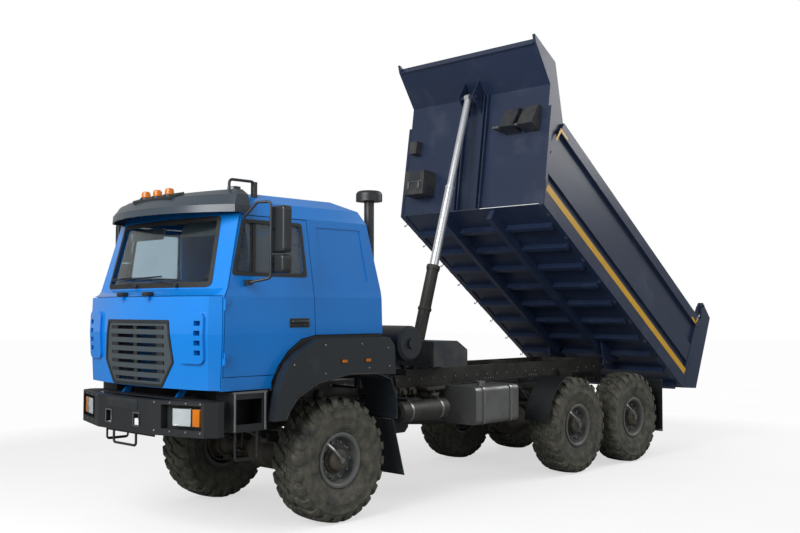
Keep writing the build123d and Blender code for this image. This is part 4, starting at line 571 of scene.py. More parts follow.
def inflation_arm():
    """Bent guard that carries the tyre inflation pipe from the hub out over the rim."""
    shape = bmesh.new()
    path = rounded([(0, 0.186, 0), (0.045, 0.196, 0.045), (0.115, 0.196, 0.115), (0.172, 0.172, 0.172),
                    (0.186, 0.160, 0.186)], 0.03)
    tube(shape, path, 0.021, 8, flat=0.5)
    tube(shape, rounded([(0.0, 0.178, 0.0), (0.0, 0.196, 0.0)], 0.01), 0.030, 16)
    return shape


def moved_copy(shape, place):
    """Copy of a shape, moved by a matrix."""
    copy = shape.copy()
    bmesh.ops.transform(copy, verts=copy.verts, matrix=place)
    return copy


def build_wheels():
    """Tyre, nuts, hub dome, rim flange and inflation arm of each of the six wheels."""
    tyre = build_tyre()
    parts = (("wheel_nuts", ZINC), ("hub_dome", CAST_IRON), ("rim_flange", RIM_RING))
    trims = wheel_trim()
    arm = inflation_arm()
    for row, side, sign in WHEELS:
        place = wheel_place(row, side, sign)
        body = f"wheel_{row}_{side}"
        shape = bmesh.new()
        put(shape, tyre, place)
        made = piece(f"treaded_tyre_{row}_{side}", shape, TYRE_RUBBER, body, sharp=28)
        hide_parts(f"tyre_{row}_{side}")
        for (name, material), trim in zip(parts, trims):
            piece(f"{name}_{row}_{side}", moved_copy(trim, place), material, body)
        piece(f"inflation_arm_{row}_{side}", moved_copy(arm, place), ZINC, body)
    for shape in (*trims, arm):
        shape.free()


build_wheels()


# ---------------------------------------------------------------- cab surface
# height, nose, corner, corner across, front of the side, side across, rear
CAB_FORM = ((1.400, 1.662, 1.540, 1.030, 1.452, 1.105, -0.668),
            (1.920, 1.686, 1.562, 1.045, 1.452, 1.130, -0.662),
            (2.270, 1.672, 1.550, 1.042, 1.450, 1.132, -0.648),
            (2.345, 1.535, 1.430, 0.955, 1.408, 1.122, -0.644),
            (3.050, 1.352, 1.272, 0.880, 1.222, 1.045, -0.500),
            (3.180, 1.262, 1.190, 0.850, 1.130, 0.985, -0.430))


def cab_row(z):
    """The cab's form at a height, between the two rows that it lies between."""
    for low, high in zip(CAB_FORM, CAB_FORM[1:]):
        if z <= high[0]:
            break
    t = (z - low[0]) / (high[0] - low[0])
    return [a + (b - a) * t for a, b in zip(low, high)]


def cab_front(y, z):
    """Point of the cab's bowed front."""
    row = cab_row(z)
    return at(row[1] - (row[1] - row[2]) * (y / row[3]) ** 2, y, z)


def cab_side(x, z, sign):
    """Point of the cab's side, x from the front axle."""
    row = cab_row(z)
    return at(x, sign * row[5], z)


def lift_of(surface, a, b, height):
    """Vector of a length along the surface's outward normal at a point of two coordinates."""
    step = 0.002
    centre = surface(a, b)
    normal = (surface(a + step, b) - centre).cross(surface(a, b + step) - centre).normalized()
    away = centre - Vector((AXLE.x + 0.4, 0, centre.z))
    return normal * (height if normal.dot(away) > 0 else -height)


def grown(points, by):
    """Corners of a convex outline moved outwards."""
    middle = sum((Vector((*p, 0)) for p in points), Vector()) / len(points)
    out = []
    count = len(points)
    for i in range(count):
        before, corner, after = (Vector((*points[k % count], 0)) for k in (i - 1, i, i + 1))
        a, b = (corner - before).normalized(), (after - corner).normalized()
        n1, n2 = Vector((a.y, -a.x, 0)), Vector((b.y, -b.x, 0))
        if n1.dot(corner - middle) < 0:
            n1, n2 = -n1, -n2
        out.append(corner + (n1 + n2) / (1 + n1.dot(n2)) * by)
    return out


def spread(path, count):
    """Closed path cut to a number of even steps."""
    lengths = [(path[(i + 1) % len(path)] - p).length for i, p in enumerate(path)]
    total, made, i, done = sum(lengths), [], 0, 0.0
    for k in range(count):
        want = total * k / count
        while done + lengths[i] < want:
            done += lengths[i]
            i += 1
        made.append(path[i].lerp(path[(i + 1) % len(path)], (want - done) / lengths[i]))
    return made


def seal(shape, surface, outline, outside, inside, height, corner, count=120):
    """Rubber band round an opening, laid on a surface of two coordinates."""
    loops = []
    for by, round_by in ((outside, corner + outside), (inside, max(corner + inside, 0.01))):
        loops.append(spread(rounded(grown(outline, by), round_by, closed=True, steps=8), count))
    outer = [surface(p.x, p.y) for p in loops[0]]
    inner = [surface(p.x, p.y) for p in loops[1]]
    lift = [lift_of(surface, p.x, p.y, height) for p in loops[0]]
    sunk = [-v * 0.6 for v in lift]
    loop_band(shape, [p + q for p, q in zip(outer, sunk)], [p + q for p, q in zip(inner, sunk)],
              [v * 1.6 for v in lift])


def skin(shape, surface, us, vs, height, sink=0.003):
    """Thin plate that lies on a surface between two ranges of its coordinates."""
    nu, nv = 20, 6
    grid = {}
    for i in range(nu + 1):
        for j in range(nv + 1):
            u = us[0] + (us[1] - us[0]) * i / nu
            v = vs[0] + (vs[1] - vs[0]) * j / nv
            point, lift = surface(u, v), lift_of(surface, u, v, 1)
            grid[i, j] = (shape.verts.new(point - lift * sink), shape.verts.new(point + lift * height))
    for level in (0, 1):
        for i in range(nu):
            for j in range(nv):
                corners = ((i, j), (i + 1, j), (i + 1, j + 1), (i, j + 1))
                shape.faces.new([grid[corner][level] for corner in corners])
    rim = [(i, 0) for i in range(nu)] + [(nu, j) for j in range(nv)] + \
        [(i, nv) for i in range(nu, 0, -1)] + [(0, j) for j in range(nv, 0, -1)]
    for a, b in zip(rim, rim[1:] + rim[:1]):
        shape.faces.new((grid[a][0], grid[b][0], grid[b][1], grid[a][1]))


# corners of the windshield, across and up, and of a side window, along and up
SHIELD = [(-0.885, 2.392), (0.885, 2.392), (0.828, 3.005), (-0.828, 3.005)]
WINDOW = [(0.450, 2.480), (1.330, 2.480), (1.185, 2.985), (0.480, 2.985)]


def build_windshield_trim():
    """Seal round the windshield, the cowl under it and the two wipers."""
    shape = bmesh.new()
    seal(shape, cab_front, SHIELD, 0.030, -0.016, 0.005, 0.02, 160)
    piece("windshield_seal", shape, RUBBER, "cab")
    shape = bmesh.new()
    skin(shape, cab_front, (-0.86, 0.86), (2.356, 2.392), 0.004)
    piece("cowl_panel", shape, BLACK_ABS, "cab")
    shape = bmesh.new()
    for pivot, tip, blade in ((0.46, -0.16, (-0.48, 0.20)), (-0.22, -0.72, (-0.84, -0.36))):
        spot = cab_front(pivot, 2.375) + lift_of(cab_front, pivot, 2.375, 0.006)
        turn = lift_of(cab_front, pivot, 2.375, 1).to_track_quat("Z", "Y").to_matrix().to_4x4()
        lathe(shape, [(0, -0.01), (0.022, -0.01), (0.022, 0.022), (0.016, 0.030), (0, 0.031)],
              Matrix.Translation(spot) @ turn, 16)
        out = 0.034
        arm = [cab_front(y, z) + lift_of(cab_front, y, z, h) for y, z, h in
               ((pivot, 2.375, 0.028), ((pivot + tip) / 2, 2.425, out + 0.006), (tip, 2.455, out))]
        tube(shape, rounded(arm, 0.05), 0.0065, 8, flat=0.6)
        run = [(y, 2.445 + 0.02 * (y - blade[0]) / (blade[1] - blade[0])) for y in
               [blade[0] + (blade[1] - blade[0]) * k / 14 for k in range(15)]]
        tube(shape, [cab_front(y, z) + lift_of(cab_front, y, z, 0.024) for y, z in run], 0.0055, 6)
        tube(shape, [cab_front(y, z) + lift_of(cab_front, y, z, 0.014) for y, z in run], 0.009, 6, flat=0.35)
    piece("wipers", shape, BLACK_ABS, "cab")


build_windshield_trim()


def build_door_trim(side, sign):
    """Window seal with its vent divider, the handle, the inner panel and the mirrors' glass."""
    body = f"door_{side}"

    def surface(x, z):
        return cab_side(x, z, sign)

    shape = bmesh.new()
    seal(shape, surface, WINDOW, 0.016, -0.018, 0.004, 0.02)
    for x0, x1, width in ((1.085, 1.040, 0.016), (1.120, 1.075, 0.003)):
        sunk, wide = Vector((0, -sign * 0.006, 0)), Vector((width, 0, 0))
        foot, head = surface(x0, 2.484) + sunk, surface(x1, 2.981) + sunk
        prism(shape, [foot - wide, foot + wide, head + wide, head - wide], (0, -sign * 0.018, 0))
    piece(f"window_seal_{side}", shape, RUBBER, body)
    shape = bmesh.new()
    skin(shape, surface, (0.420, 0.670), (1.975, 2.065), 0.004)
    grip = [surface(x, 2.035) + Vector((0, sign * h, 0)) for x, h in
            ((0.445, 0.004), (0.455, 0.030), (0.640, 0.030), (0.650, 0.004))]
    tube(shape, rounded(grip, 0.02), 0.013, 8, flat=0.7)
    lathe(shape, [(0, 0.002), (0.017, 0.002), (0.017, 0.010), (0.012, 0.012), (0, 0.012)],
          turned(surface(0.500, 1.998), -sign * QUARTER, "X"), 16)
    piece(f"door_handle_{side}", shape, BLACK_ABS, body, bevel=0.0015)
    shape = bmesh.new()
    side_box(shape, sign, (0.46, 1.30), (1.012, 1.028), (1.98, 2.44))
    side_box(shape, sign, (0.60, 1.10), (0.97, 1.03), (2.20, 2.25))
    piece(f"door_lining_{side}", shape, DASH_PLASTIC, body, bevel=0.006)
    glass = bmesh.new()
    for low, high, half in ((2.700, 3.090, 0.085), (2.505, 2.640, 0.080)):
        side_box(glass, sign, (0.950, 0.956), (MIRROR_Y - half, MIRROR_Y + half), (low, high))
    piece(f"mirror_glass_{side}", glass, MIRROR_GLASS, body, bevel=0.001)


for side, sign in SIDES:
    build_door_trim(side, sign)


def build_grille_trim():
    """Frame round the grille, dividers between its louvres and the mesh behind them."""
    outline = [(-0.440, 1.412), (0.440, 1.412), (0.613, 1.650), (0.545, 2.050), (-0.545, 2.050),
               (-0.613, 1.650)]

    def surface(y, z):
        return cab_front(y, max(z, 1.401))

    shape = bmesh.new()
    seal(shape, surface, outline, -0.004, -0.030, 0.006, 0.012, 140)
    louvres, foot, height = 7, 1.462, 0.578
    pitch = height / louvres
    for row in range(louvres):
        low = foot + pitch * row
        for y, half in ((0, 0.030), (0.40, 0.055), (-0.40, 0.055)):
            back = surface(y, low) - Vector((0.043, 0, 0))
            box(shape, back - Vector((0, half, 0)), back + Vector((0.035, half, pitch * 0.42)))
    piece("grille_frame", shape, BLACK_ABS, "front_lid")
    shape = bmesh.new()
    wire = bmesh.new()
    box(wire, (-0.001, -0.49, -0.001), (0.001, 0.49, 0.001))
    put(shape, repeated(wire, 38, ZINC, shift=(0, 0, 0.016)), Matrix.Translation(at(1.612, 0, 1.44)))
    wire = bmesh.new()
    box(wire, (-0.001, -0.001, 0), (0.001, 0.001, 0.60))
    put(shape, repeated(wire, 60, ZINC, shift=(0, 0.016, 0)), Matrix.Translation(at(1.614, -0.475, 1.436)))
    piece("grille_mesh", shape, CHASSIS_BLACK, "front_lid")


build_grille_trim()


def build_lid_trim():
    """Covers of the lid's two hinges."""
    shape = bmesh.new()
    for y in (-0.229, 0.229):
        box(shape, at(1.640, y - 0.045, 2.276), at(1.722, y + 0.045, 2.316))
    piece("lid_hinge_covers", shape, BLACK_ABS, "cab", bevel=0.008)


build_lid_trim()


# ---------------------------------------------------------------- roof
def build_roof():
    """Beacons on their strip, the work lamp and the visor's screws."""
    shape = bmesh.new()
    prism(shape, [at(1.355, -0.34, 3.268), at(1.355, -0.34, 3.300), at(1.516, -0.34, 3.244),
                  at(1.512, -0.34, 3.212)], (0, 0.68, 0))
    beacons = [Matrix.Translation(at(1.440, y, 3.248)) for y in (-0.21, 0, 0.21)]
    for place in beacons:
        lathe(shape, [(0, 0), (0.058, 0), (0.058, 0.022), (0.052, 0.028), (0, 0.028)], place, 28)
    piece("beacon_strip", shape, BLACK_ABS, "cab", bevel=0.003)
    shape = bmesh.new()
    for place in beacons:
        lathe(shape, [(0, 0.020), (0.048, 0.020), (0.048, 0.030), (0.045, 0.034), (0.0455, 0.055),
                      (0.040, 0.078), (0.026, 0.088), (0, 0.091)], place, 36)
    made = piece("beacon_domes", shape, AMBER_LENS, "cab")
    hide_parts("roof_lamps")
    shape = bmesh.new()
    box(shape, at(1.078, 0.755, 3.195), at(1.150, 0.875, 3.330))
    unit = bmesh.new()
    box(unit, (-0.010, -0.056, 0), (0, 0.056, 0.004))
    put(shape, repeated(unit, 8, BLACK_ABS, shift=(0, 0, 0.015)), Matrix.Translation(at(1.080, 0.815, 3.21)))
    piece("work_lamp_housing", shape, BLACK_ABS, "cab", bevel=0.006)
    shape = bmesh.new()
    box(shape, at(1.146, 0.763, 3.205), at(1.158, 0.867, 3.322))
    piece("work_lamp_lens", shape, CLEAR_LENS, "cab", bevel=0.004)
    shape = bmesh.new()
    for sign in (1, -1):
        for k in range(4):
            y = sign * (0.25 + 0.22 * k)
            nose = 1.632 - 0.332 * (y / 1.082) ** 2
            lathe(shape, [(0, 0), (0.011, 0), (0.009, 0.004), (0, 0.005)],
                  turned(at(nose - 0.002, y, 3.102), QUARTER, "Y"), 12)
    piece("visor_screws", shape, ZINC, "cab")


build_roof()


# ---------------------------------------------------------------- cab interior
def build_interior():
    """Rear panel, roof lining, floor mat, instrument hood and the blinds."""
    shape = bmesh.new()
    prism(shape, [at(-0.588, -1.0, 1.966), at(-0.428, -1.0, 3.020), at(-0.414, -1.0, 3.020),
                  at(-0.574, -1.0, 1.966)], (0, 2.0, 0))
    box(shape, at(-0.38, -0.86, 3.080), at(1.06, 0.86, 3.094))
    piece("cab_lining", shape, LINING, "cab")
    shape = bmesh.new()
    box(shape, at(-0.55, -1.0, 1.957), at(0.85, 1.0, 1.966))
    piece("floor_mat", shape, RUBBER, "cab")
    shape = bmesh.new()
    prism(shape, [at(1.150, 0.36, 2.262), at(1.290, 0.36, 2.328), at(1.270, 0.36, 2.372),
                  at(1.120, 0.36, 2.330)], (0, 0.42, 0))
    piece("instrument_hood", shape, DASH_PLASTIC, "cab", bevel=0.008)
    shape = bmesh.new()
    for y in (-0.45, 0.45):
        prism(shape, [at(1.215, y - 0.30, 2.985), at(1.222, y - 0.30, 2.985), at(1.275, y - 0.30, 2.860),
                      at(1.268, y - 0.30, 2.860)], (0, 0.60, 0))
    piece("sun_blinds", shape, DASH_PLASTIC, "cab")


build_interior()


def pad_mesh(low, high, lean, hollow):
    """Cushion block whose sides pull in between its corners and whose face is crowned."""
    shape = bmesh.new()
    bmesh.ops.create_cube(shape, size=1)
    bmesh.ops.subdivide_edges(shape, edges=shape.edges, cuts=7, use_grid_fill=True)
    size = Vector(high) - Vector(low)
    middle = (Vector(high) + Vector(low)) / 2
    for vert in shape.verts:
        p = vert.co * 2
        x = p.x * (1 - hollow * (1 - p.y * p.y)) * math.sqrt(1 - 0.18 * p.z * p.z)
        y = p.y * (1 - hollow * (1 - p.x * p.x)) * math.sqrt(1 - 0.14 * p.z * p.z)
        z = p.z * (1 - 0.25 * p.x * p.x * p.x * p.x * 0.5 - 0.12 * p.y * p.y)
        vert.co = Vector((x * size.x, y * size.y, z * size.z)) / 2
        vert.co = Matrix.Rotation(lean, 3, "Y") @ vert.co + middle
    return shape


def inflate(obj, cap):
    """Swells a pad as stuffed cloth, no point moving further than the cap."""
    obj.data.remesh_voxel_size = 0.006
    with bpy.context.temp_override(active_object=obj, object=obj, selected_objects=[obj]):
        bpy.ops.object.voxel_remesh()
    rest = [v.co.copy() for v in obj.data.vertices]
    cloth = obj.modifiers.new("cloth", "CLOTH")
    cloth.settings.use_pressure = True
    cloth.settings.uniform_pressure_force = 4
    cloth.settings.effector_weights.gravity = 0
    for step in range(1, 21):
        bpy.context.scene.frame_set(step)
    bake(obj)
    bpy.context.scene.frame_set(1)
    for vert, start in zip(obj.data.vertices, rest):
        move = vert.co - start
        if move.length > cap:
            vert.co = start + move.normalized() * cap
    smooth = obj.modifiers.new("smooth", "SUBSURF")
    smooth.levels = 1
    smooth.render_levels = 1
    bake(obj)
    obj.data.shade_smooth()


PAD_WAIST = 0.05       # how far a pad's sides pull in, as a share of its half size


def build_seats():
    """Two padded seats with their plinths, in place of the plain blocks."""
    plinth = bmesh.new()
    for sign in (1, -1):
        side_box(plinth, sign, (0.20, 0.60), (SEAT_Y - 0.20, SEAT_Y + 0.20), (1.957, 2.115))
        side_box(plinth, sign, (0.14, 0.68), (SEAT_Y - 0.215, SEAT_Y + 0.215), (2.09, 2.135))
        prism(plinth, [at(x, sign * SEAT_Y - 0.20, z) for x, z in
                       ((0.150, 2.13), (0.185, 2.13), (0.130, 2.84), (0.105, 2.84))], (0, 0.40, 0))
    made = piece("seat_frames", plinth, DASH_PLASTIC, "cab", bevel=0.012)
    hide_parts("seats")
    for side, sign in SIDES:
        middle = Vector((0, sign * SEAT_Y, 0))
        cushion = pad_mesh(at(0.22, -0.225, 2.130) + middle, at(0.700, 0.225, 2.270) + middle,
                           -0.06, PAD_WAIST)
        back = pad_mesh((-0.28, -0.215, -0.055), (0.28, 0.215, 0.055), 0, PAD_WAIST)
        bmesh.ops.transform(back, verts=back.verts,
                            matrix=turned(at(0.235, sign * SEAT_Y, 2.555), QUARTER - 0.17, "Y"))
        for name, shape in (("cushion", cushion), ("back", back)):
            pad = piece(f"seat_{name}_{side}", shape, SEAT_CLOTH, "cab")
            inflate(pad, 0.012)


build_seats()


# ---------------------------------------------------------------- bumper, lamps and steps
def slope_x(y):
    """Front of the bumper's sloping part, from the front axle."""
    return 1.800 - 0.180 * (y - 0.450) / 0.630


def bay_block(shape, sign, ys, zs, front, back):
    """Block that follows the bumper's slope between two depths behind it."""
    plan = [(slope_x(ys[0]) - front, ys[0]), (slope_x(ys[1]) - front, ys[1]), (slope_x(ys[1]) - back, ys[1]),
            (slope_x(ys[0]) - back, ys[0])]
    prism(shape, [at(x, sign * y, zs[0]) for x, y in plan], (0, 0, zs[1] - zs[0]))


def on_slope(x, sign, y, z):
    """Place on the bumper's slope whose Z axis points out of it."""
    return turned(at(x, sign * y, z), sign * BUMPER_SLANT, "Z") @ Matrix.Rotation(QUARTER, 4, "Y")


def build_lamps():
    """Head lamps with their reflectors, turn lamps, side markers and rear lamps."""
    reflector, clear, amber, red, frame_shape = (bmesh.new() for _ in range(5))
    for sign in (1, -1):
        bay_block(frame_shape, sign, (0.716, 0.929), (1.081, 1.249), 0.020, 0.0695)
        bay_block(reflector, sign, (0.726, 0.919), (1.091, 1.239), 0.0165, 0.024)
        bay_block(clear, sign, (0.722, 0.923), (1.087, 1.243), 0.0105, 0.0145)
        bay_block(frame_shape, sign, (0.938, 1.022), (1.083, 1.247), 0.030, 0.0695)
        bay_block(amber, sign, (0.942, 1.018), (1.087, 1.243), 0.012, 0.032)
        for x in MARKER_X:
            side_box(amber, sign, (x - 0.031, x + 0.031), (1.2455, 1.2575), (1.617, 1.647))
        for y0, y1, shape in ((0.445, 0.530, red), (0.535, 0.605, amber), (0.610, 0.675, clear)):
            side_box(shape, sign, (-6.450, -6.416), (y0, y1), (1.086, 1.118))
        lathe(reflector, [(0.066, 0.010), (0.060, 0.004), (0.040, -0.012), (0.016, -0.022), (0.016, -0.008),
                          (0, -0.004)], on_slope(slope_x(0.80) - 0.022, sign, 0.80, 1.165), 28)
    made = piece("lamp_housings", frame_shape, BLACK_ABS, "chassis", bevel=0.002)
    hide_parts("lamps")
    piece("lamp_reflectors", reflector, REFLECTOR, "chassis")
    piece("head_lamp_lenses", clear, CLEAR_LENS, "chassis", bevel=0.0015)
    piece("amber_lenses", amber, AMBER_LENS, "chassis", bevel=0.0015)
    piece("rear_lamp_lenses", red, RED_LENS, "chassis", bevel=0.0015)


build_lamps()


def build_bumper_trim():
    """Edges and loops of the tow openings, screws, lower valance and the plain plate holder."""
    shape = bmesh.new()
    for y in (-0.25, 0.25):
        for y0, z0, y1, z1 in ((-0.056, 1.049, 0.056, 1.060), (-0.056, 1.170, 0.056, 1.181),
                               (-0.056, 1.060, -0.045, 1.170), (0.045, 1.060, 0.056, 1.170)):
            box(shape, at(1.800, y + y0, z0), at(1.806, y + y1, z1))
    piece("tow_opening_rims", shape, ZINC, "chassis", bevel=0.0015)
    shape = bmesh.new()
    for y in (-0.25, 0.25):
        corners = ((1.60, -0.022), (1.765, -0.022), (1.765, 0.022), (1.60, 0.022))
        loop = [at(x, y + dy, 1.115) for x, dy in corners]
        tube(shape, rounded(loop, 0.02), 0.012, 8)
    piece("tow_loops", shape, CAST_IRON, "chassis")
    shape = bmesh.new()
    for sign in (1, -1):
        for z in (1.032, 1.292):
            for y in (0.52, 0.70, 0.88, 1.04):
                lathe(shape, [(0, -0.001), (0.009, -0.001), (0.009, 0.004), (0.006, 0.006), (0, 0.006)],
                      on_slope(slope_x(y), sign, y, z), 10)
    piece("bumper_screws", shape, ZINC, "chassis")
    shape = bmesh.new()
    box(shape, at(1.8005, -0.265, 1.205), at(1.8045, 0.265, 1.300))
    piece("plate_holder", shape, BLACK_ABS, "chassis", bevel=0.0015)
    shape = bmesh.new()
    box(shape, at(1.700, -0.42, 0.955), at(1.712, 0.42, 0.992))
    box(shape, at(1.45, -1.05, 1.308), at(1.62, 1.05, 1.316))
    piece("bumper_valance", shape, RUBBER, "chassis", bevel=0.003)


build_bumper_trim()


def build_step_trim(side, sign):
    """Grip treads, pale edge and the two galvanised tubes by a step box."""
    shape = bmesh.new()
    tooth = bmesh.new()
    box(tooth, (-0.004, -0.06, 0), (0.004, 0.06, 0.006))
    put(shape, repeated(tooth, 20, ZINC, shift=(0.0155, 0, 0)),
        Matrix.Translation(at(1.020, sign * 1.08, 1.031)))
    side_box(shape, sign, (0.955, 1.346), (1.138, 1.154), (1.372, 1.390))
    for x in (0.985, 1.335):
        tube(shape, [at(x, sign * 1.158, 1.03), at(x, sign * 1.158, 1.375)], 0.011, 10)
    piece(f"step_edges_{side}", shape, ZINC, "chassis")
    shape = bmesh.new()
    stud = bmesh.new()
    box(stud, (-0.006, -0.014, 0.004), (0.006, 0.014, 0.022))
    put(shape, repeated(stud, 12, RUBBER, shift=(0.019, 0, 0)),
        Matrix.Translation(at(1.080, sign * 1.13, 0.760)))
    piece(f"step_grips_{side}", shape, RUBBER, "chassis")


for side, sign in SIDES:
    build_step_trim(side, sign)


def build_fender_trim():
    """Rolled lips of the front wheel arches, marker bases, screws and the bars of the mud flaps."""
    arch = [(0.800, 1.100), (0.760, 1.180), (0.660, 1.300), (0.400, 1.425), (0.0, 1.495), (-0.420, 1.485)]
    shape = bmesh.new()
    screws = bmesh.new()
    for sign in (1, -1):
        tube(shape, rounded([at(x, sign * 1.244, z + 0.004) for x, z in arch], 0.12, steps=4), 0.010, 8)
        for x in MARKER_X:
            side_box(shape, sign, (x - 0.040, x + 0.040), (1.2445, 1.2495), (1.609, 1.655))
        for x, z in ((0.70, 1.62), (0.30, 1.80), (-0.20, 1.80), (-0.58, 1.75), (-0.60, 1.56), (0.30, 1.52),
                     (-0.30, 1.55)):
            lathe(screws, [(0, 0), (0.010, 0), (0.008, 0.004), (0, 0.005)],
                  turned(at(x, sign * 1.2452, z), -sign * QUARTER, "X"), 10)
    piece("fender_lips", shape, RUBBER, "chassis")
    piece("fender_screws", screws, ZINC, "chassis")
    shape = bmesh.new()
    for sign in (1, -1):
        side_box(shape, sign, (-0.916, -0.902), (0.79, 1.15), (0.385, 0.420))
        side_box(shape, sign, (-0.722, -0.700), (0.79, 1.15), (0.985, 1.012))
        side_box(shape, sign, (-6.402, -6.396), (0.765, 1.185), (0.375, 0.400))
    piece("flap_bars", shape, ZINC, "chassis", bevel=0.002)


build_fender_trim()


def build_fender_gap_shade():
    """Dark rubber sheets on the front fenders that fill the gap under the cab: painted shade, a dark sheet
    standing for the shade in that gap.
    """
    upper = [(-0.600, 1.894), (0.337, 1.894), (0.516, 1.855), (0.684, 1.739), (0.792, 1.606), (0.828, 1.530)]
    lower = [(0.790, 1.500), (0.735, 1.610), (0.615, 1.710), (0.390, 1.840), (-0.590, 1.840)]
    shape = bmesh.new()
    for sign in (1, -1):
        prism(shape, [at(x, sign * 0.850, z) for x, z in upper + lower], (0, sign * 0.272, 0))
    # painted shade: a dark rubber sheet fills the shaded gap between each front fender and the cab
    piece("fender_gap_shade_sheets", shape, RUBBER, "chassis")


build_fender_gap_shade()


# ---------------------------------------------------------------- chassis
def build_chassis_bolts():
    """Rows of bolts on the outside of both frame rails, at the brackets and along the subframe."""
    shape = bmesh.new()
    for sign in (1, -1):
        face = Vector((0, sign, 0))
        for z in (1.150, 1.320):
            bolt_row(shape, at(-5.95, sign * RAIL_FACE, z), (0.21, 0, 0), 34, face)
        for x in (-5.30, -4.30, -3.35, -1.00, 0.55):
            for z in (1.205, 1.265):
                bolt_row(shape, at(x, sign * RAIL_FACE, z), (0.055, 0, 0), 4, face)
    piece("frame_bolts", shape, ZINC, "chassis")


def build_springs_trim():
    """U-bolts over the springs and clips round the leaves."""
    shape = bmesh.new()
    for sign in (1, -1):
        y = sign * 0.395
        for x in (-0.11, 0.11):
            corners = ((-0.055, 0.60), (-0.055, 0.862), (0.055, 0.862), (0.055, 0.60))
            bow = [at(x, y + dy, z) for dy, z in corners]
            tube(shape, rounded(bow, 0.03), 0.011, 8)
        box(shape, at(-0.15, y - 0.07, 0.592), at(0.15, y + 0.07, 0.612))
        for x in (0.38, -0.38):
            box(shape, at(x - 0.018, y - 0.050, 0.780), at(x + 0.018, y + 0.050, 0.880))
    piece("spring_clamps", shape, CAST_IRON, "chassis", bevel=0.002)


def build_dampers():
    """Shock absorbers at the front axle and brake chambers on the rear axles."""
    shape = bmesh.new()
    for sign in (1, -1):
        foot, head = at(-0.19, sign * 0.52, 0.66), at(-0.30, sign * 0.475, 1.28)
        mid = foot.lerp(head, 0.5)
        tube(shape, [foot, mid], 0.036, 16)
        tube(shape, [mid - (head - foot) * 0.03, head], 0.045, 16)
        for x in REAR_AXLE_X:
            spot = at(x + 0.16, sign * 0.66, 0.70)
            lathe(shape, [(0, 0), (0.070, 0), (0.088, 0.020), (0.088, 0.060), (0.094, 0.064), (0.094, 0.076),
                          (0.088, 0.080), (0.088, 0.160), (0.070, 0.185), (0, 0.188)],
                  turned(spot, QUARTER, "Y"), 24)
            tube(shape, [at(x, sign * 0.66, 0.63), at(x + 0.165, sign * 0.66, 0.70)], 0.020, 8)
    piece("dampers_and_brakes", shape, CHASSIS_BLACK, "chassis")


def hose(shape, points, radius, bend=0.06):
    """Hose of a fixed route with rounded bends."""
    tube(shape, rounded(points, bend, steps=6), radius, 10)


def build_lines():
    """Air and fuel lines along the rails, the ribbed intake hose and the hoist's pressure hose."""
    shape = bmesh.new()
    for sign in (1, -1):
        for k in range(3):
            low, high = 1.215 - 0.022 * k, 1.235 - 0.022 * k
            hose(shape, [at(x, sign * y, z) for x, y, z in
                         ((-5.7, 0.452, high), (-3.2, 0.452, high), (-2.15, 0.456, low),
                          (0.40, 0.456, low))], 0.009)
        hose(shape, [at(-0.10, sign * 0.47, 1.19), at(-0.17, sign * 0.52, 1.02), at(-0.15, sign * 0.50, 0.84),
                     at(-0.08, sign * 0.46, 0.70)], 0.010)
        for x in REAR_AXLE_X:
            hose(shape, [at(x + 0.45, sign * 0.46, 1.20), at(x + 0.42, sign * 0.62, 0.98),
                         at(x + 0.35, sign * 0.66, 0.74)], 0.009)
    hose(shape, [at(-1.79, 0.26, 1.50), at(-1.93, 0.26, 1.30), at(-2.08, 0.16, 1.10),
                 at(-2.14, 0.10, 1.05)], 0.017)
    piece("air_lines", shape, RUBBER, "chassis")
    shape = bmesh.new()
    tube(shape, rounded([at(-0.95, 0.62, 1.70), at(-0.80, 0.70, 1.66), at(-0.74, 0.80, 1.78),
                         at(-0.723, 0.80, 1.905)], 0.08), 0.058, 18)
    ring = bmesh.new()
    lathe(ring, [(0.058, -0.004), (0.064, 0), (0.058, 0.004)], Matrix(), 18, closed=True)
    put(shape, repeated(ring, 9, RUBBER, shift=(0, 0, 0.014)), Matrix.Translation(at(-0.723, 0.80, 1.79)))
    piece("intake_hose", shape, RUBBER, "chassis")


def build_tank_trim():
    """Straps and caps of the tanks, clamps of the air tanks, and the guard of the silencer."""
    shape = bmesh.new()
    for sign in (1, -1):
        for x in (-2.87, -2.35):
            low, high = sorted((sign * 0.5955, sign * 1.1045))
            corners = ((low, 0.7885), (low, 1.2415), (high, 1.2415), (high, 0.7885))
            loop = rounded([at(x, y, z) for y, z in corners], 0.062, closed=True, steps=6)
            wide = Vector((0.022, 0, 0))
            outer = [p + (p - at(x, sign * 0.85, 1.015)).normalized() * 0.0035 for p in loop]
            loop_band(shape, [p - wide for p in outer], [p - wide for p in loop], [wide * 2 for _ in loop])
        lathe(shape, [(0, 0), (0.052, 0), (0.052, 0.018), (0.044, 0.024), (0, 0.025)],
              Matrix.Translation(at(-2.40, sign * 1.01, 1.278)), 20)
    for y in (0.62, 0.87):
        for x in (-1.75, -1.25):
            lathe(shape, [(0.1155, -0.016), (0.1185, -0.016), (0.1185, 0.016), (0.1155, 0.016)],
                  turned(at(x, y, 1.010), QUARTER, "Y"), 36, closed=True)
    piece("tank_straps", shape, ZINC, "chassis")
    shape = bmesh.new()
    unit = bmesh.new()
    box(unit, (-0.40, -0.004, -0.004), (0.40, 0.004, 0.004))
    bmesh.ops.translate(unit, verts=unit.verts, vec=(0, 0, 0.196))
    put(shape, repeated(unit, 15, ZINC, turn=(0.15, 0, 0)), turned(at(-1.54, -0.80, 1.00), 0.35, "X"))
    piece("silencer_guard", shape, TANK_ALLOY, "chassis")


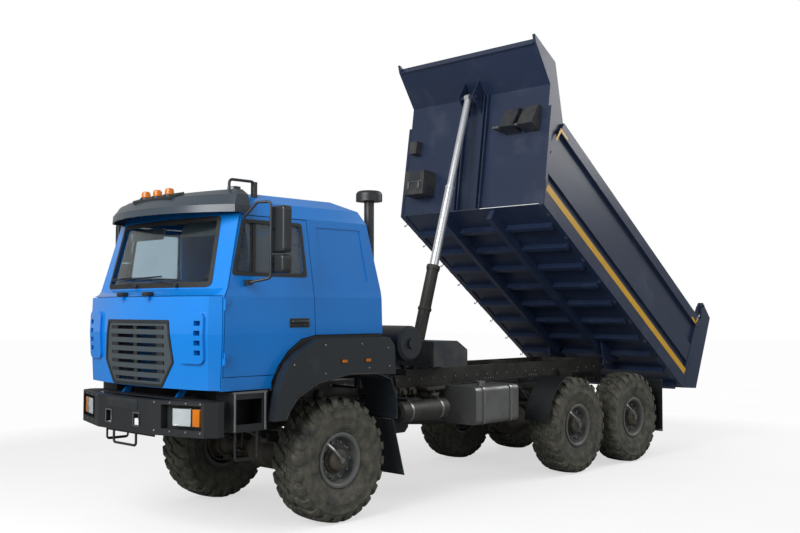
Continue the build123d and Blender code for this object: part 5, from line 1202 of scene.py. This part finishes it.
def canister(shape, x, y, low, high, radius):
    """Upright filter or reservoir with a domed foot and a ribbed lid."""
    tall = high - low
    lid = radius * 1.12
    lathe(shape, [(0, 0), (radius * 0.7, 0.004), (radius, 0.03), (radius, tall - 0.03), (lid, tall - 0.03),
                  (lid, tall - 0.006), (radius * 0.4, tall), (0.018, tall), (0.018, tall + 0.03),
                  (0, tall + 0.03)], Matrix.Translation(at(x, y, low)), 28)


def build_side_units():
    """Filters, reservoirs, valve blocks and their hoses hung on the left rail behind the front wheel."""
    shape = bmesh.new()
    for x, y, low, high, radius in ((-0.99, 0.60, 0.92, 1.20, 0.058), (-1.13, 0.60, 0.94, 1.20, 0.050),
                                    (-1.98, 0.62, 0.88, 1.17, 0.062)):
        canister(shape, x, y, low, high, radius)
    piece("filter_canisters", shape, TANK_ALLOY, "chassis")
    shape = bmesh.new()
    for x, low, high in ((-1.06, 1.235, 1.275), (-1.98, 1.20, 1.24)):
        box(shape, at(x - 0.16, 0.46, low), at(x + 0.16, 0.67, high))
    for x in (-1.36, -1.52, -1.68):
        box(shape, at(x - 0.055, 0.462, 1.150), at(x + 0.055, 0.56, 1.240))
        box(shape, at(x - 0.030, 0.56, 1.165), at(x + 0.030, 0.60, 1.215))
    piece("valve_blocks", shape, CAST_IRON, "chassis", bevel=0.004)
    shape = bmesh.new()
    for k, x in enumerate((-1.36, -1.52, -1.68)):
        hose(shape, [at(x, 0.58, 1.16), at(x, 0.62, 1.14 - 0.01 * k), at(x + 0.10, 0.60, 1.145 - 0.012 * k),
                     at(x + 0.24, 0.53, 1.20)], 0.009, 0.04)
    for k in range(3):
        hose(shape, [at(-0.99 - 0.05 * k, 0.64, 1.29), at(-1.02 - 0.06 * k, 0.68, 1.38 + 0.02 * k),
                     at(-1.20 - 0.05 * k, 0.60, 1.42 + 0.02 * k), at(-1.34 - 0.06 * k, 0.49, 1.27)],
             0.011, 0.08)
    piece("side_hoses", shape, RUBBER, "chassis")


build_side_units()
build_chassis_bolts()
build_springs_trim()
build_dampers()
build_lines()
build_tank_trim()


# ---------------------------------------------------------------- load bed
def bed_block(shape, low, high):
    """Block in the lowered bed's own axes, turned up with it."""
    box(shape, low, high, BED_FRAME)


def build_bed_stripes():
    """Yellow stripe along the lower rail and the corner marks, both sides."""
    shape = bmesh.new()
    for sign in (1, -1):
        low, high = sorted((sign * 1.2502, sign * 1.2514))
        bed_block(shape, (-0.890, low, 0.400), (3.440, high, 0.492))
        for x0, x1, z0, z1 in ((3.44, 3.64, 1.240, 1.275), (3.605, 3.64, 1.08, 1.24),
                               (-0.80, -0.62, 1.240, 1.275), (-0.80, -0.765, 1.250, 1.360)):
            bed_block(shape, (x0, sign * 1.2505 - 0.0008, z0), (x1, sign * 1.2505 + 0.0008, z1))
    piece("bed_stripes", shape, YELLOW_TAPE, "bed")


def build_bed_welds():
    """Weld beads along the rails, with the rope hooks under the lower rail."""
    shape = bmesh.new()
    for sign in (1, -1):
        for z in (0.500, 0.620, 0.900, 1.230):
            tube(shape, [on_bed(-0.86, sign * 1.172, z),
                         on_bed(3.40 + 0.34 * (z - 0.5), sign * 1.172, z)], 0.006, 6)
        hook = bmesh.new()
        path = rounded([(0, 0, 0.02), (0, 0, -0.045), (0, sign * 0.03, -0.06), (0, sign * 0.035, -0.03)],
                       0.012, steps=3)
        tube(hook, path, 0.006, 6)
        put(shape, repeated(hook, 9, BED_NAVY, shift=(0.48, 0, 0)),
            BED_FRAME @ Matrix.Translation((-0.62, sign * 1.225, 0.215)))
    piece("bed_welds_and_hooks", shape, BED_NAVY, "bed")


def build_wall_trim():
    """Latch and straps on the tool box and the chocks of the front wall."""
    shape = bmesh.new()
    for low, high in (((-0.960, 0.395, 0.2505), (-0.680, 0.405, 0.262)),
                      ((-0.930, 0.30, 0.2505), (-0.900, 0.40, 0.266)),
                      ((-0.740, 0.30, 0.2505), (-0.710, 0.40, 0.266))):
        box(shape, low, high, WALL_FRAME)
    for y in (0.56, 0.86):
        box(shape, (y - 0.13, 1.02, 0.0), (y + 0.13, 1.05, 0.165), WALL_FRAME)
    piece("wall_latches", shape, ZINC, "bed", bevel=0.002)


build_bed_stripes()
build_bed_welds()
build_wall_trim()


# ---------------------------------------------------------------- hoist
def build_hoist_trim():
    """Gland rings on the hoist's tube."""
    lean = HOIST_RUN.to_track_quat("Z", "Y").to_matrix().to_4x4()
    shape = bmesh.new()
    place = Matrix.Translation(HOIST_FOOT) @ lean
    for height in (1.760, 0.60, 1.20):
        lathe(shape, [(0.0785, height), (0.089, height), (0.089, height + 0.030),
                      (0.0785, height + 0.030)], place, 32, closed=True)
    piece("hoist_glands", shape, CAST_IRON, "hoist_tube")


build_hoist_trim()


# ---------------------------------------------------------------- setting, light and camera
def seen_straight(tree):
    """1 where the camera looks at a thing directly or through glass, and 0 for the light it gives."""
    path = add_node(tree, "ShaderNodeLightPath").outputs
    return add_node(tree, "ShaderNodeMath", {0: path["Is Camera Ray"], 1: path["Is Transmission Ray"]},
                    operation="MAXIMUM").outputs[0]


FADE = (4.0, 9.0)      # distances between which the floor turns white
FLOOR_GLOW = 0.62      # least share of white in the floor as the camera sees it
SKY = 0.40             # strength of the even light from all round
CAMERA_SPOT = (9.8620, 8.5106, 2.1432)
CAMERA_RUN = (-0.7213, -0.6912, 0.0444)      # direction in which it looks
CAMERA_ROLL = math.radians(0.077)
FOCAL_LENGTH = 44.38   # millimetres, behind a sensor 36 mm wide


def build_setting():
    """Pale floor that fades to white, and an even sky of light."""
    world = bpy.data.worlds.new("studio")
    bpy.context.scene.world = world
    world.use_nodes = True
    tree = world.node_tree
    tree.nodes.clear()
    plain = add_node(tree, "ShaderNodeBackground", {"Color": linear("#ffffff"), "Strength": SKY}).outputs[0]
    white = add_node(tree, "ShaderNodeBackground", {"Color": linear("#ffffff"), "Strength": 1.0}).outputs[0]
    both = add_node(tree, "ShaderNodeMixShader", {0: seen_straight(tree), 1: plain, 2: white}).outputs[0]
    add_node(tree, "ShaderNodeOutputWorld", {"Surface": both})
    mesh = bpy.data.meshes.new("floor")
    mesh.from_pydata([(-60, -60, 0), (60, -60, 0), (60, 60, 0), (-60, 60, 0)], [], [(0, 1, 2, 3)])
    floor = bpy.data.objects.new("floor", mesh)
    bpy.context.scene.collection.objects.link(floor)
    material, tree, where = blank_material("studio_floor")
    tone = blend_colours(tree, noise(tree, where, 1.5), linear("#fbfbfb"), linear("#ffffff"))
    seen = seen_straight(tree)
    lit = blend_colours(tree, seen, linear("#a0a0a0"), tone)
    matt = add_node(tree, "ShaderNodeBsdfDiffuse", {"Color": lit}).outputs[0]
    glow = add_node(tree, "ShaderNodeEmission", {"Color": tone, "Strength": 1.0}).outputs[0]
    distance = add_node(tree, "ShaderNodeVectorMath", {0: where}, operation="LENGTH").outputs[1]
    far = ramp(tree, distance, *FADE)
    lifted = add_node(tree, "ShaderNodeMath", {0: far, 1: FLOOR_GLOW}, operation="MAXIMUM").outputs[0]
    share = add_node(tree, "ShaderNodeMath", {0: lifted, 1: seen}, operation="MULTIPLY").outputs[0]
    both = add_node(tree, "ShaderNodeMixShader", {0: share, 1: matt, 2: glow}).outputs[0]
    add_node(tree, "ShaderNodeOutputMaterial", {"Surface": both})
    mesh.materials.append(material)


def area_light(name, spot, aim, size, power):
    """Soft rectangular light at a spot, aimed at a point."""
    data = bpy.data.lights.new(name, "AREA")
    data.shape = "RECTANGLE"
    data.size, data.size_y = size
    data.energy = power
    obj = bpy.data.objects.new(name, data)
    obj.location = spot
    obj.rotation_euler = (Vector(aim) - Vector(spot)).to_track_quat("-Z", "Y").to_euler()
    bpy.context.scene.collection.objects.link(obj)


def build_camera():
    """Camera at the front left corner, at the height of the cab's door."""
    data = bpy.data.cameras.new("camera")
    data.sensor_width = 36
    data.lens = FOCAL_LENGTH
    data.clip_end = 300
    camera = bpy.data.objects.new("camera", data)
    turn = Vector(CAMERA_RUN).to_track_quat("-Z", "Y").to_matrix().to_4x4()
    camera.matrix_world = Matrix.Translation(CAMERA_SPOT) @ turn @ Matrix.Rotation(CAMERA_ROLL, 4, "Z")
    bpy.context.scene.collection.objects.link(camera)
    bpy.context.scene.camera = camera


build_setting()
area_light("key", (12.0, 2.0, 7.0), (0, 0, 1.8), (7, 7), 1300)
area_light("fill", (2.0, 12.0, 5.0), (0, 0, 1.8), (8, 5), 140)
area_light("rim", (-9.0, 5.0, 8.0), (0, 0, 2.5), (6, 6), 500)
build_camera()
bpy.context.scene.view_settings.view_transform = "Standard"
